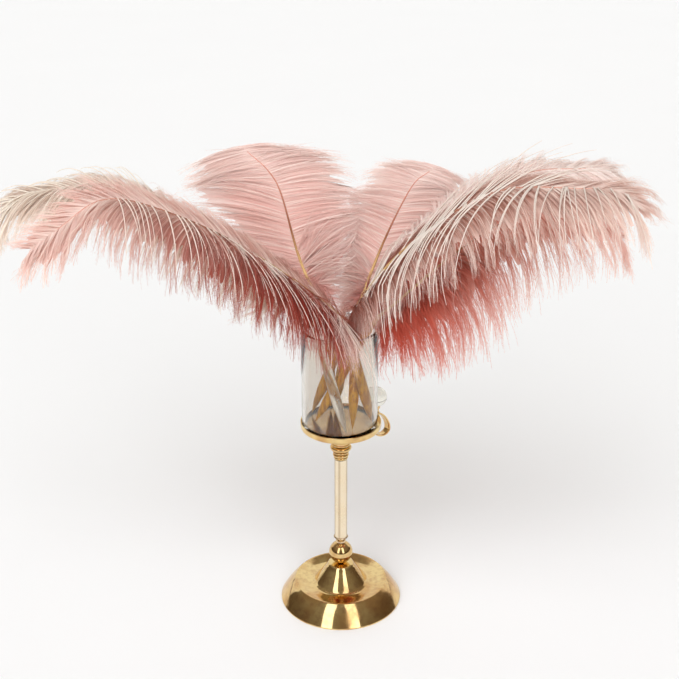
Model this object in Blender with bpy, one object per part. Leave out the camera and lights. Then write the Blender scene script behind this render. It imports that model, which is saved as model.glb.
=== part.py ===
"""A bouquet of dyed ostrich plumes in a smoky glass cylinder on a turned gold stand.

World metres, +Z up, the foot of the stand on z = 0 and its axis on the Z axis. The viewer of the
reference photo stands on the -Y side. Every piece is one closed body.
"""

from math import asin, atan2, cos, degrees, hypot, pi, radians, sin, sqrt

import bmesh
import bpy
from mathutils import Vector

MM = 0.001
GAP = 0.3                      # air between neighbouring pieces, mm

# Stand and glass, mm
FOOT_R = 55.0
FOOT_TOP = 36.0
BALL_R = 10.8
STEM_R = 5.7
STEM_TOP_Z = 144.0
COLLAR_TOP_Z = 176.0
TRAY_R = 35.3
TRAY_TOP_Z = 182.0
TRAY_FLOOR_Z = 178.6
GLASS_R = 33.0
GLASS_BORE_R = 30.5
GLASS_X = -1.0                 # the glass stands a little off the middle of the tray
GLASS_FLOOR_Z = 182.0
GLASS_RIM_Z = 270.0
LOOP_HEADING = 42.0            # degrees from +X toward the back
LOOP_THICK = 1.8
LOOP_WIDE = 7.0
LOOP_BALL_R = 43.4             # distance of the crystal ball from the stand's axis
LOOP_BALL_Z = 190.6
CRYSTAL_R = 9.0

# Plumes, mm
QUILL_R = 4.6
VANE_STATIONS = 34             # cross-sections of a vane: a lock and the dip beside it in turn
DIP = 0.70                     # how far a dip between two locks reaches, as a share of a lock
SIDE_MARGIN = 1.0              # air kept to the wedge of the next plume
HANG_R = 40.0                  # barbs that hang past the rim stay this far from the glass axis


def clear_scene():
    """Remove whatever the start-up scene holds."""
    for item in list(bpy.data.objects):
        bpy.data.objects.remove(item, do_unlink=True)


def principled(name, colour, metallic=0.0, roughness=0.5, transmission=0.0):
    """Make one Principled material."""
    material = bpy.data.materials.new(name)
    material.use_nodes = True
    shader = material.node_tree.nodes["Principled BSDF"]
    shader.inputs["Base Color"].default_value = (*colour, 1.0)
    shader.inputs["Metallic"].default_value = metallic
    shader.inputs["Roughness"].default_value = roughness
    shader.inputs["Transmission Weight"].default_value = transmission
    material.diffuse_color = (*colour, 1.0)
    return material


def finish(name, mesh, material, smooth_angle=None):
    """Turn a bmesh in millimetres into a named object in metres."""
    bmesh.ops.scale(mesh, vec=Vector((MM, MM, MM)), verts=mesh.verts)
    bmesh.ops.recalc_face_normals(mesh, faces=mesh.faces)
    data = bpy.data.meshes.new(name)
    mesh.to_mesh(data)
    mesh.free()
    data.materials.append(material)
    item = bpy.data.objects.new(name, data)
    bpy.context.scene.collection.objects.link(item)
    if smooth_angle is not None:
        data.shade_smooth()
        data.set_sharp_from_angle(angle=radians(smooth_angle))
    return item


def loft(mesh, rings):
    """Join rings of equal length with triangles and return the rings' vertices; the ends stay open.

    The first half of a ring is the upper side of a vane and the second half its lower side. Both
    sides are cut along the same diagonals, so that they stay one thickness apart where they twist.
    """
    rows = [[mesh.verts.new(point) for point in ring] for ring in rings]
    count = len(rows[0])
    for low, high in zip(rows, rows[1:]):
        for i in range(count):
            j = (i + 1) % count
            if i < count // 2:
                mesh.faces.new((low[i], low[j], high[j]))
                mesh.faces.new((low[i], high[j], high[i]))
            else:
                mesh.faces.new((low[i], low[j], high[i]))
                mesh.faces.new((low[j], high[j], high[i]))
    return rows


def turned(name, profile, steps, material, centre=Vector((0.0, 0.0, 0.0)), sharp=32.0):
    """Turn a profile of (radius, height), which starts and ends on the axis, about an upright axis."""
    mesh = bmesh.new()
    rows = []
    for radius, height in profile:
        if radius == 0.0:
            rows.append([mesh.verts.new((centre.x, centre.y, height))])
            continue
        ring = []
        for i in range(steps):
            angle = 2.0 * pi * (i + 0.5) / steps
            ring.append(mesh.verts.new((centre.x + radius * cos(angle),
                                        centre.y + radius * sin(angle), height)))
        rows.append(ring)
    for low, high in zip(rows, rows[1:]):
        for i in range(steps):
            j = (i + 1) % steps
            corners = [low[i % len(low)], low[j % len(low)], high[j % len(high)], high[i % len(high)]]
            unique = [v for k, v in enumerate(corners) if v not in corners[:k]]
            mesh.faces.new(unique)
    return finish(name, mesh, material, sharp)


def arc(centre, radius, start, end, steps):
    """Points (radius, height) on an arc of a profile, both angles in degrees from +X."""
    points = []
    for i in range(steps + 1):
        angle = radians(start + (end - start) * i / steps)
        points.append((centre[0] + radius * cos(angle), centre[1] + radius * sin(angle)))
    return points


# ---------------------------------------------------------------------------------------------
# Stand
# ---------------------------------------------------------------------------------------------

def build_stand(gold):
    """Foot, ball, stem, bead collar and tray, all turned on the Z axis."""
    foot = [(0.0, 0.0), (FOOT_R - 0.5, 0.0), (FOOT_R, 0.6), (FOOT_R, 1.7), (48.5, 11.6), (42.0, 18.6),
            (34.0, 18.9), (25.4, 19.6), (20.4, 21.8), (16.0, 26.2), (13.0, 31.2), (11.4, FOOT_TOP),
            (0.0, FOOT_TOP)]
    turned("foot", foot, 36, gold)

    centre_z = FOOT_TOP + 11.1
    low = degrees(asin((FOOT_TOP + GAP - centre_z) / BALL_R * 0.93))
    ball = arc((0.0, centre_z), BALL_R, low, -low, 7)
    bottom, top = ball[0][1], ball[-1][1]
    turned("ball_knob", [(0.0, bottom)] + ball + [(0.0, top)], 24, gold)

    cup = top + GAP
    stem = [(0.0, cup), (4.1, cup), (4.8, cup + 3.5), (6.6, cup + 5.6), (STEM_R, cup + 6.6),
            (STEM_R, STEM_TOP_Z), (0.0, STEM_TOP_Z)]
    turned("stem", stem, 24, gold)

    foot_z = STEM_TOP_Z + GAP
    collar = [(0.0, foot_z), (5.8, foot_z), (6.9, foot_z + 2.2), (5.9, foot_z + 4.4),
              (8.0, foot_z + 5.3), (9.7, foot_z + 8.4), (8.0, foot_z + 11.4), (8.0, foot_z + 15.0),
              (12.0, COLLAR_TOP_Z), (0.0, COLLAR_TOP_Z)]
    turned("bead_collar", collar, 24, gold)

    under = COLLAR_TOP_Z + GAP
    tray = [(0.0, under), (TRAY_R - 2.0, under), (TRAY_R, under + 0.9), (TRAY_R, TRAY_TOP_Z - 0.4),
            (TRAY_R - 0.5, TRAY_TOP_Z), (TRAY_R - 0.9, TRAY_TOP_Z - 0.2),
            (TRAY_R - 1.0, TRAY_FLOOR_Z), (0.0, TRAY_FLOOR_Z)]
    turned("tray", tray, 40, gold)


def build_glass(glass):
    """Straight glass cylinder with a thick floor, standing in the tray."""
    foot_z = TRAY_FLOOR_Z + GAP
    profile = [(0.0, foot_z), (GLASS_R - 0.8, foot_z), (GLASS_R, foot_z + 0.8),
               (GLASS_R, GLASS_RIM_Z - 0.7), (GLASS_R - 0.7, GLASS_RIM_Z),
               (GLASS_BORE_R + 0.7, GLASS_RIM_Z), (GLASS_BORE_R, GLASS_RIM_Z - 0.7),
               (GLASS_BORE_R, GLASS_FLOOR_Z), (0.0, GLASS_FLOOR_Z)]
    turned("glass_cylinder", profile, 40, glass, centre=Vector((GLASS_X, 0.0, 0.0)))


def build_loop(gold, crystal):
    """Finger loop bent from a strip under the tray's edge, with its crystal ball on a small seat."""
    heading = Vector((cos(radians(LOOP_HEADING)), sin(radians(LOOP_HEADING)), 0.0))
    across = Vector((-heading.y, heading.x, 0.0))
    seat = heading * LOOP_BALL_R
    strip = COLLAR_TOP_Z - 0.6 - LOOP_THICK / 2.0
    route = [(20.0, strip), (36.0, strip), (LOOP_BALL_R, strip), (49.0, strip - 3.4),
             (53.6, strip - 9.0), (56.8, strip - 16.0), (56.6, strip - 21.0), (52.5, strip - 23.6),
             (46.5, strip - 23.2), (41.0, strip - 20.0), (38.5, strip - 15.0)]
    rings = []
    for i, (out, height) in enumerate(route):
        before = route[max(i - 1, 0)]
        after = route[min(i + 1, len(route) - 1)]
        along = Vector((after[0] - before[0], after[1] - before[1])).normalized()
        normal = heading * -along.y + Vector((0.0, 0.0, along.x))
        middle = heading * out + Vector((0.0, 0.0, height))
        half = across * (LOOP_WIDE / 2.0)
        lift = normal * (LOOP_THICK / 2.0)
        rings.append([middle + half - lift, middle + half + lift,
                      middle - half + lift, middle - half - lift])
    mesh = bmesh.new()
    rows = loft(mesh, rings)
    mesh.faces.new(rows[0])
    mesh.faces.new(rows[-1])
    loop = finish("finger_loop", mesh, gold, 40.0)

    flat = CRYSTAL_R * sin(radians(66.0))
    foot = strip + LOOP_THICK / 4.0
    top = LOOP_BALL_Z - flat - GAP
    cup = [(0.0, foot), (2.6, foot), (1.9, foot + 3.0), (3.3, top), (0.0, top)]
    cup_item = turned("ball_seat_form", cup, 12, gold, centre=seat)
    cup_item.hide_render = True
    cup_item.display_type = "WIRE"
    join = loop.modifiers.new("seat", "BOOLEAN")
    join.operation = "UNION"
    join.solver = "EXACT"
    join.object = cup_item

    ball = arc((0.0, LOOP_BALL_Z), CRYSTAL_R, -66.0, 66.0, 8)
    turned("crystal_ball", [(0.0, LOOP_BALL_Z - flat)] + ball + [(0.0, LOOP_BALL_Z + flat)], 20,
           crystal, centre=seat, sharp=40.0)


# ---------------------------------------------------------------------------------------------
# Plumes
# ---------------------------------------------------------------------------------------------

class Wedge:
    """Space of one plume: two upright planes through the stand's axis, bent a little with radius."""

    NEAR_R, FAR_R = 50.0, 240.0

    def __init__(self, low, high):
        """Take (near, far) angles in degrees for the clockwise and anticlockwise side."""
        self.low = low
        self.high = high

    def _at(self, pair, radius):
        """Angle of one side at a radius."""
        share = (radius - self.NEAR_R) / (self.FAR_R - self.NEAR_R)
        share = min(1.0, max(0.0, share))
        return radians(pair[0] + (pair[1] - pair[0]) * share)

    def keep(self, point):
        """Return the point moved inside the wedge at its own radius and height."""
        radius = hypot(point.x, point.y)
        low, high = self._at(self.low, radius), self._at(self.high, radius)
        margin = asin(min(0.9, SIDE_MARGIN / max(radius, 1.0)))
        middle = (low + high) / 2.0
        angle = (atan2(point.y, point.x) - middle + pi) % (2.0 * pi) - pi
        half = (high - low) / 2.0 - margin
        angle = middle + min(half, max(-half, angle))
        return Vector((radius * cos(angle), radius * sin(angle), point.z))


def keep_off_glass(point):
    """Push a hanging barb outside the glass and over its rim in a round hump."""
    dx, dy = point.x - GLASS_X, point.y
    radius = max(hypot(dx, dy), 0.001)
    pivot_r, pivot_z, hump = 26.0, GLASS_RIM_Z - 8.0, 14.0
    new_r, new_z = radius, point.z
    if point.z < pivot_z:
        new_r = max(radius, HANG_R)
    elif radius < pivot_r:
        new_z = max(point.z, pivot_z + hump)
    else:
        out, up = radius - pivot_r, point.z - pivot_z
        reach = hypot(out, up)
        if reach < hump:
            new_r = pivot_r + out * hump / max(reach, 0.001)
            new_z = pivot_z + up * hump / max(reach, 0.001)
    return Vector((GLASS_X + dx * new_r / radius, dy * new_r / radius, new_z))


def spline(points, first, steps=14):
    """Smooth route through points, leaving the first one in a given direction."""
    tangents = []
    for i, here in enumerate(points):
        if i == 0:
            tangents.append(first * (points[1] - here).length)
        elif i == len(points) - 1:
            tangents.append(here - points[i - 1])
        else:
            tangents.append((points[i + 1] - points[i - 1]) / 2.0)
    route = []
    for i in range(len(points) - 1):
        a, b, ta, tb = points[i], points[i + 1], tangents[i], tangents[i + 1]
        for k in range(steps):
            t = k / steps
            route.append(a * (2 * t ** 3 - 3 * t ** 2 + 1) + ta * (t ** 3 - 2 * t ** 2 + t)
                         + b * (3 * t ** 2 - 2 * t ** 3) + tb * (t ** 3 - t ** 2))
    route.append(points[-1])
    return route


class Route:
    """Polyline that can be asked for a point and a heading at a length along it."""

    def __init__(self, points):
        """Measure the polyline."""
        self.points = points
        self.marks = [0.0]
        for a, b in zip(points, points[1:]):
            self.marks.append(self.marks[-1] + (b - a).length)
        self.length = self.marks[-1]

    def point(self, length):
        """Point at a length, clamped to the ends."""
        length = min(self.length, max(0.0, length))
        for i in range(1, len(self.marks)):
            if length <= self.marks[i]:
                share = (length - self.marks[i - 1]) / (self.marks[i] - self.marks[i - 1])
                return self.points[i - 1].lerp(self.points[i], share)
        return self.points[-1].copy()

    def heading(self, length):
        """Unit direction at a length."""
        return (self.point(length + 3.0) - self.point(length - 3.0)).normalized()


def drooping(start, heading, length, droop, steps):
    """Points on a strand that leaves start along heading and sinks under its own weight."""
    points = [start]
    down = Vector((0.0, 0.0, -1.0))
    for k in range(steps):
        sag = droop * ((k + 0.5) / steps) ** 1.2
        step = (heading * (1.0 - sag) + down * sag).normalized()
        points.append(points[-1] + step * (length / steps))
    return points


class Plume:
    """One ostrich feather: a tapering quill and shaft with a soft drooping vane on each side."""

    STRAND_STEPS = 10
    SHARES = (0.2, 0.6, 1.0)   # where along a barb the section has its points

    def __init__(self, name, tip, rim, route, face, reach, droop, shape, wedge,
                 head=40.0, start=24.0, lean=(24.0, 54.0, 54.0), press=60.0):
        """Take the quill's tip and rim crossing, the shaft's route, and the reach of both vanes.

        reach and droop are (right, left) for a plume seen from above with its head forward. shape is
        the share of the full reach at the foot, where along the shaft the reach is full, and the
        share at the shaft's end. head is how far the barbs of the head reach past the shaft, start
        where the vane begins, and lean how far the barbs point forward at the foot, at the head on
        the right and at the head on the left. A barb ends where the side of the wedge has pushed it
        back by more than press in all.
        """
        self.name = name
        self.tip = Vector(tip)
        self.rim = Vector(rim)
        self.face = Vector(face)
        self.reach = reach
        self.wedge = wedge
        self.droop = droop
        self.shape = shape
        self.start = start
        self.lean = lean
        self.press = press
        leave = (self.rim - self.tip).normalized()
        shaft = spline([self.rim] + [Vector(p) for p in route], leave)
        end = (shaft[-1] - shaft[-2]).normalized()
        self.shaft = Route(shaft)
        bend = 0.7 * min(1.0, head / 40.0)
        self.axis = Route(shaft + drooping(shaft[-1], end, head, bend, 8)[1:])

    def envelope(self, share):
        """Length of a barb at a share of the vane, 0 at its foot and 1 at its head."""
        shaft_share = (self.shaft.length - self.start) / (self.axis.length - self.start)
        foot, full_at, end = self.shape
        if share < full_at * shaft_share:
            return foot + (1.0 - foot) * sin(share / (full_at * shaft_share) * pi / 2.0)
        if share < shaft_share:
            return 1.0 - (1.0 - end) * (share / shaft_share - full_at) / (1.0 - full_at)
        t = (share - shaft_share) / (1.0 - shaft_share)
        return end * sqrt(max(0.0, 1.0 - t * t))

    def strand(self, share, side):
        """Middle line of the barbs on one side (+1 right, -1 left) at a share of the vane."""
        length = self.start + (self.axis.length - self.start) * share
        root = self.axis.point(length)
        along = self.axis.heading(length)
        across = along.cross(self.face).normalized() * side
        vane = 0 if side > 0 else 1
        lean = radians(self.lean[0] + (self.lean[1 + vane] - self.lean[0]) * share ** 1.5)
        heading = (across * cos(lean) + along * sin(lean)).normalized()
        points = drooping(root, heading, self.reach[vane] * self.envelope(share), self.droop[vane],
                          self.STRAND_STEPS)
        kept = [root]
        shift = Vector((0.0, 0.0, 0.0))
        pressed = 0.0
        for point in points[1:]:
            clear = keep_off_glass(point + shift)
            held = self.wedge.keep(clear)
            pressed += (held - clear).length
            if pressed > self.press:
                break
            shift = held - point
            kept.append(held)
        return Route(kept)

    def shaft_radius(self, share):
        """Radius of the shaft at a share of the vane."""
        return 3.3 * (1.0 - share) ** 0.9 + 0.5

    def quill_rings(self):
        """Rings of twelve points from the pointed tip of the quill up to the foot of the vane."""
        straight = (self.rim - self.tip).length
        marks = [(0.0, 0.9), (9.0, 2.3), (24.0, QUILL_R), (straight, 4.1)]
        rings = []
        heading = (self.rim - self.tip).normalized()
        for length, radius in marks:
            middle = self.tip + heading * length
            rings.append(self.ring(middle, heading, radius))
        return rings

    def ring(self, middle, heading, radius):
        """Twelve points about a heading, the first one on the plume's right."""
        right = heading.cross(self.face).normalized()
        up = right.cross(heading).normalized()
        return [middle + right * (radius * cos(pi * k / 6.0)) + up * (radius * sin(pi * k / 6.0))
                for k in range(12)]

    def vane_rings(self):
        """Sections of twelve points across both vanes, locks and dips in turn."""
        grid = []
        for i in range(VANE_STATIONS):
            share = i / (VANE_STATIONS - 1) * 0.985
            row = []
            for side in (1, -1):
                strand = self.strand(share, side)
                cut = DIP + 0.06 * sin(2.3 * i + side) if i % 2 else 1.0 + 0.07 * sin(1.7 * i + 2.0 * side)
                cut = 1.0 if i == 0 else cut
                inner = 0.97 * min(1.0, cut + 0.12)
                row.append([strand.point(strand.length * s * (cut if s == 1.0 else inner))
                            for s in self.SHARES])
            middle = self.axis.point(self.start + (self.axis.length - self.start) * share)
            grid.append(row[0][::-1] + [middle] + row[1])
        rings = []
        for i, row in enumerate(grid):
            before, after = grid[max(i - 1, 0)], grid[min(i + 1, len(grid) - 1)]
            share = i / (VANE_STATIONS - 1)
            thick = [0.0, 0.45, 0.65, self.shaft_radius(share), 0.65, 0.45, 0.0]
            above, below = [], []
            for k in range(1, 6):
                along = after[k] - before[k]
                side = row[k - 1] - row[k + 1]
                normal = side.cross(along).normalized()
                above.append(row[k] + normal * thick[k])
                below.append(row[k] - normal * thick[k])
            rings.append([row[0]] + above + [row[6]] + below[::-1])
        return rings

    def build(self, material):
        """Make the plume as one closed body."""
        mesh = bmesh.new()
        vane = self.vane_rings()
        foot_length = self.start - 7.0
        collar = self.ring(self.axis.point(foot_length), self.axis.heading(foot_length), 3.9)
        rows = loft(mesh, self.quill_rings() + [collar] + vane)
        mesh.faces.new(rows[0])
        last = rows[-1]
        for k in range(1, 6):
            if k == 1:
                mesh.faces.new((last[0], last[1], last[11]))
            if k < 5:
                mesh.faces.new((last[k], last[k + 1], last[11 - k], last[12 - k]))
            if k == 5:
                mesh.faces.new((last[5], last[6], last[7]))
        return finish(self.name, mesh, material, 60.0)


def plumes():
    """The seven plumes of the bouquet; x to the viewer's right, y away, z up, in mm."""
    up = (0.0, -0.25, 1.0)
    return [
        Plume("plume_left_front", (26.6, -4.4, 182.6), (6.8, -22.3, 270.0),
              [(-12.0, -34.0, 303.0), (-77.0, -65.0, 364.0), (-134.0, -93.0, 402.0),
               (-169.0, -116.0, 415.0), (-198.0, -134.0, 399.0)],
              up, (66.0, 76.0), (0.55, 0.8), (0.85, 0.55, 0.6), Wedge((203.0, 199.0), (297.0, 281.0)),
              start=16.0, lean=(24.0, 44.0, 54.0)),
        Plume("plume_left_back", (4.6, -26.1, 182.6), (-22.5, 1.9, 270.0),
              [(-44.0, 7.5, 300.0), (-116.0, 12.0, 353.0), (-182.0, 5.0, 391.0),
               (-234.0, -12.0, 392.0)],
              up, (46.0, 72.0), (0.6, 0.75), (0.7, 0.7, 0.9), Wedge((160.0, 158.0), (203.0, 199.0))),
        Plume("plume_back_left", (-9.2, 24.9, 182.6), (-10.3, 19.4, 270.0),
              [(-23.0, 29.0, 290.0), (-37.0, 42.0, 321.0), (-51.0, 57.0, 369.0),
               (-62.0, 63.0, 388.0), (-80.0, 70.0, 403.0)],
              (-0.1, -1.0, 0.45), (82.0, 78.0), (0.7, 0.5), (0.75, 0.6, 0.7),
              Wedge((78.0, 78.0), (160.0, 158.0)), head=10.0, start=18.0, lean=(30.0, -25.0, 40.0),
              press=10.0),
        Plume("plume_back_right", (9.7, -18.1, 182.6), (13.6, 20.3, 270.0),
              [(22.0, 36.0, 294.0), (40.0, 53.0, 335.0), (61.0, 64.0, 374.0), (76.0, 69.0, 386.0)],
              (0.25, -1.0, 0.45), (66.0, 56.0), (0.55, 0.7), (0.75, 0.6, 0.7),
              Wedge((42.0, 30.0), (78.0, 78.0)), head=10.0, start=12.0, lean=(30.0, 40.0, -25.0),
              press=10.0),
        Plume("plume_right_back", (-26.5, 13.3, 182.6), (9.0, 11.1, 270.0),
              [(36.0, 19.0, 304.0), (96.0, 38.0, 357.0), (156.0, 53.0, 388.0),
               (208.0, 60.0, 391.0)],
              up, (60.0, 60.0), (0.7, 0.45), (0.6, 0.5, 0.8), Wedge((15.0, 8.0), (42.0, 30.0))),
        Plume("plume_right_middle", (-22.6, -4.6, 182.6), (23.2, -5.1, 270.0),
              [(46.0, -2.0, 292.0), (104.0, 6.0, 341.0), (152.0, 6.0, 368.0),
               (196.0, 2.0, 368.0)],
              up, (112.0, 56.0), (0.92, 0.7), (0.66, 0.24, 0.55), Wedge((-19.0, -14.0), (15.0, 8.0)),
              start=16.0, lean=(-12.0, 54.0, 54.0)),
        Plume("plume_right_front", (-5.5, 23.5, 182.6), (7.3, -6.5, 270.0),
              [(18.0, -20.0, 304.0), (54.0, -42.0, 357.0), (114.0, -72.0, 408.0),
               (180.0, -104.0, 420.0)],
              up, (86.0, 60.0), (0.8, 0.5), (0.6, 0.5, 0.8), Wedge((-61.0, -77.0), (-19.0, -14.0))),
    ]


def main():
    """Build every piece."""
    clear_scene()
    gold = principled("gilt_metal", (0.83, 0.62, 0.33), metallic=1.0, roughness=0.2)
    glass = principled("smoky_glass", (0.62, 0.54, 0.48), roughness=0.03, transmission=1.0)
    crystal = principled("clear_crystal", (0.95, 0.95, 0.95), roughness=0.02, transmission=1.0)
    feather = principled("dyed_feather", (0.86, 0.52, 0.48), roughness=0.8)
    build_stand(gold)
    build_glass(glass)
    build_loop(gold, crystal)
    for plume in plumes():
        plume.build(feather)


main()
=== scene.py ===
"""Visual model of a bouquet of dyed ostrich plumes in a smoky glass on a turned gold stand.

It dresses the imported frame: every plume gets a shaft and vanes of separate barbs with their down, and
the stand and the glass get smooth turned shapes. World metres, +Z up; the viewer of the reference photo
stands on the -Y side. Sizes in the dataclasses are millimetres.
"""

import logging
from dataclasses import dataclass
from enum import Enum
from math import cos, pi, radians, sin, tau
from typing import Any, Optional, Sequence, Union

import bmesh
import bpy
import numpy as np
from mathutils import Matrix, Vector


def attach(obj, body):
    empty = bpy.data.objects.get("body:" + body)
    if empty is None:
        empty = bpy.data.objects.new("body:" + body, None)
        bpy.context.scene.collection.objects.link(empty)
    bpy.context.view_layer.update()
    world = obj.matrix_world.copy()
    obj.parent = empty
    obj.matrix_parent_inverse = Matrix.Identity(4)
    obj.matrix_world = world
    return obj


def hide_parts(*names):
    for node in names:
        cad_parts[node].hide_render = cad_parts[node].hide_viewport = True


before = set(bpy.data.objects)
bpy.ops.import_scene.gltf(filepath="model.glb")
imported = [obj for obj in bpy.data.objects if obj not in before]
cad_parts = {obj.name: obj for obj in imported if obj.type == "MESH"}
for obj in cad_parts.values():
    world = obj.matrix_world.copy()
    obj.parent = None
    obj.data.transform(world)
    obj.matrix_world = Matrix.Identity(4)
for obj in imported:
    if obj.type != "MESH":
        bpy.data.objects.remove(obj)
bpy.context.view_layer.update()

MM = 0.001
LOG = logging.getLogger("bouquet")
Array = np.ndarray
Colour = tuple[float, float, float]
Point = tuple[float, float, float]
Pair = tuple[float, float]
DOWN = np.array([0.0, 0.0, -1.0])
ASLANT = np.array([0.31, -0.83, 0.46])

# Glass and stand, as in the part's source
GLASS_X = -1.0
GLASS_RIM_Z = 270.0
QUILL_TIP_Z = 182.6
COLLAR_TOP_Z = 176.0
LOOP_HEADING = radians(42.0)
LOOP_BALL_R = 43.4
LOOP_BALL_Z = 190.6
CRYSTAL_R = 9.0

# Hanging barbs keep this far from the glass's axis, and cross its rim in a hump round a ring in its wall
HANG_R = 38.5
HUMP_RING_R = 26.0
HUMP_RING_Z = GLASS_RIM_Z - 8.0
HUMP = 14.0


def dye(red: int, green: int, blue: int) -> Colour:
    """Turn a screen colour from 0 to 255 into linear light.

    Args:
        red: Red on the screen.
        green: Green on the screen.
        blue: Blue on the screen.

    Returns:
        The colour as linear values from 0 to 1.
    """
    parts = [value / 255.0 for value in (red, green, blue)]
    linear = [v / 12.92 if v <= 0.04045 else ((v + 0.055) / 1.055) ** 2.4 for v in parts]
    return linear[0], linear[1], linear[2]


def unit(vectors: Array) -> Array:
    """Scale vectors in the last axis to length one."""
    return vectors / np.maximum(np.linalg.norm(vectors, axis=-1, keepdims=True), 1e-9)


def clamp(values: Array) -> Array:
    """Hold values between 0 and 1."""
    return np.clip(values, 0.0, 1.0)


def between(pair: Pair, part: Array) -> Array:
    """Go from the first number of a pair to its second one."""
    return pair[0] + (pair[1] - pair[0]) * part


def weigh(first: Array, second: Array, part: Array) -> Array:
    """Mean of two arrays, where part is the second one's weight."""
    return first * (1.0 - part) + second * part


def frames(lines: Array, along: Array) -> tuple[Array, Array, Array]:
    """Axes along lines.

    Args:
        lines: Points of the lines, as items, steps and coordinates.
        along: A direction for each line near which the second axis lies.

    Returns:
        The tangents, the directions in the plane of tangent and along, and the normals of that plane.
    """
    tangent = unit(np.gradient(lines, axis=1))
    flat = unit(along[:, None] - tangent * (along[:, None] * tangent).sum(-1, keepdims=True))
    return tangent, flat, np.cross(tangent, flat)


# ----- Shader maths -----

class Wire:
    """One output socket that takes part in Python arithmetic."""

    def __init__(self, board: "Board", socket: Optional[bpy.types.NodeSocket]) -> None:
        """Keep the board that the socket's node stands on."""
        self.board = board
        self.socket = socket

    def _maths(self, operation: str, *values: "Value") -> "Wire":
        """Add a Math node on these values."""
        return self.board.add("ShaderNodeMath", {"operation": operation}, dict(enumerate(values)))

    def __add__(self, other: "Value") -> "Wire":
        """Add."""
        return self._maths("ADD", self, other)

    def __radd__(self, other: "Value") -> "Wire":
        """Add to a number."""
        return self._maths("ADD", other, self)

    def __sub__(self, other: "Value") -> "Wire":
        """Subtract."""
        return self._maths("SUBTRACT", self, other)

    def __rsub__(self, other: "Value") -> "Wire":
        """Subtract from a number."""
        return self._maths("SUBTRACT", other, self)

    def __mul__(self, other: "Value") -> "Wire":
        """Multiply."""
        return self._maths("MULTIPLY", self, other)

    def __rmul__(self, other: "Value") -> "Wire":
        """Multiply a number."""
        return self._maths("MULTIPLY", other, self)

    def __truediv__(self, other: "Value") -> "Wire":
        """Divide."""
        return self._maths("DIVIDE", self, other)

    def __abs__(self) -> "Wire":
        """Size without sign."""
        return self._maths("ABSOLUTE", self)

    def step(self, low: float, high: float) -> "Wire":
        """Rise smoothly from 0 at low to 1 at high."""
        return self.board.add("ShaderNodeMapRange", {"interpolation_type": "SMOOTHSTEP"},
                              {0: self, 1: low, 2: high, 3: 0.0, 4: 1.0})


Value = Union[Wire, float, Sequence[float]]


class Board:
    """Node tree of a material or of the room's light."""

    def __init__(self, owner: Union[bpy.types.Material, bpy.types.World]) -> None:
        """Clear the owner's tree.

        Args:
            owner: The material or world whose nodes these are.
        """
        owner.use_nodes = True
        self.owner = owner
        self.tree = owner.node_tree
        self.tree.nodes.clear()

    def add(self, kind: str, settings: Optional[dict[str, Any]] = None,
            inputs: Optional[dict[Union[str, int], Value]] = None,
            output: Union[str, int] = 0) -> Wire:
        """Add a node.

        Args:
            kind: Blender's name for the node's type.
            settings: Properties that are set first; "stops" are a ramp's (position, colour) pairs.
            inputs: Values or wires by the socket's name or number.
            output: The output socket that is returned.

        Returns:
            The chosen output as a wire, without a socket where the node has no outputs.
        """
        node = self.tree.nodes.new(kind)
        for name, value in (settings or {}).items():
            if name == "stops":
                self._set_stops(node.color_ramp, value)
            else:
                setattr(node, name, value)
        for key, value in (inputs or {}).items():
            if isinstance(value, Wire):
                self.tree.links.new(value.socket, node.inputs[key])
            else:
                node.inputs[key].default_value = value
        return Wire(self, node.outputs[output] if len(node.outputs) else None)

    @staticmethod
    def _set_stops(ramp: bpy.types.ColorRamp, stops: Sequence[tuple[float, Colour]]) -> None:
        """Give a ramp its stops.

        Args:
            ramp: The ramp.
            stops: Pairs of position and colour.
        """
        while len(ramp.elements) < len(stops):
            ramp.elements.new(0.5)
        for element, (position, colour) in zip(ramp.elements, stops):
            element.position = position
            element.color = (*colour, 1.0)

    def ramp(self, value: Value, stops: Sequence[tuple[float, Colour]]) -> Wire:
        """Colour read from a ramp."""
        return self.add("ShaderNodeValToRGB", {"stops": stops}, {0: value})

    def blend(self, share: Value, first: Value, second: Value) -> Wire:
        """Colour between two colours."""
        return self.add("ShaderNodeMix", {"data_type": "RGBA"},
                        {0: share, 6: _rgba(first), 7: _rgba(second)}, 2)

    def noise(self, scale: float, detail: float = 3.0, stretch: Point = (1.0, 1.0, 1.0)) -> Wire:
        """Soft noise fixed to the object.

        Args:
            scale: About how many features it has to the metre.
            detail: How fine its finest features are.
            stretch: How many more features it has along each axis.

        Returns:
            Values around 0.5.
        """
        place = self.add("ShaderNodeTexCoord", output="Object")
        sized = self.add("ShaderNodeVectorMath", {"operation": "MULTIPLY"}, {0: place, 1: stretch})
        return self.add("ShaderNodeTexNoise", None, {"Vector": sized, "Scale": scale, "Detail": detail})

    def mark(self, name: str) -> Wire:
        """Number that the mesh stores at each point."""
        return self.add("ShaderNodeAttribute", {"attribute_name": name}, output="Fac")

    def principled(self, inputs: dict[Union[str, int], Value]) -> Wire:
        """Principled shader."""
        return self.add("ShaderNodeBsdfPrincipled", None, inputs)

    def bump(self, height: Value, distance: float, strength: float = 1.0) -> Wire:
        """Normal from a height."""
        return self.add("ShaderNodeBump", None,
                        {"Strength": strength, "Distance": distance, "Height": height})

    def finish(self, shader: Wire, output: str = "ShaderNodeOutputMaterial") -> Any:
        """Join a shader to an output node and return the tree's owner."""
        self.add(output, None, {"Surface": shader})
        return self.owner


def _rgba(value: Value) -> Value:
    """Give a plain colour its alpha."""
    return value if isinstance(value, Wire) else (*value, 1.0)


# ----- Finishes -----

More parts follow.
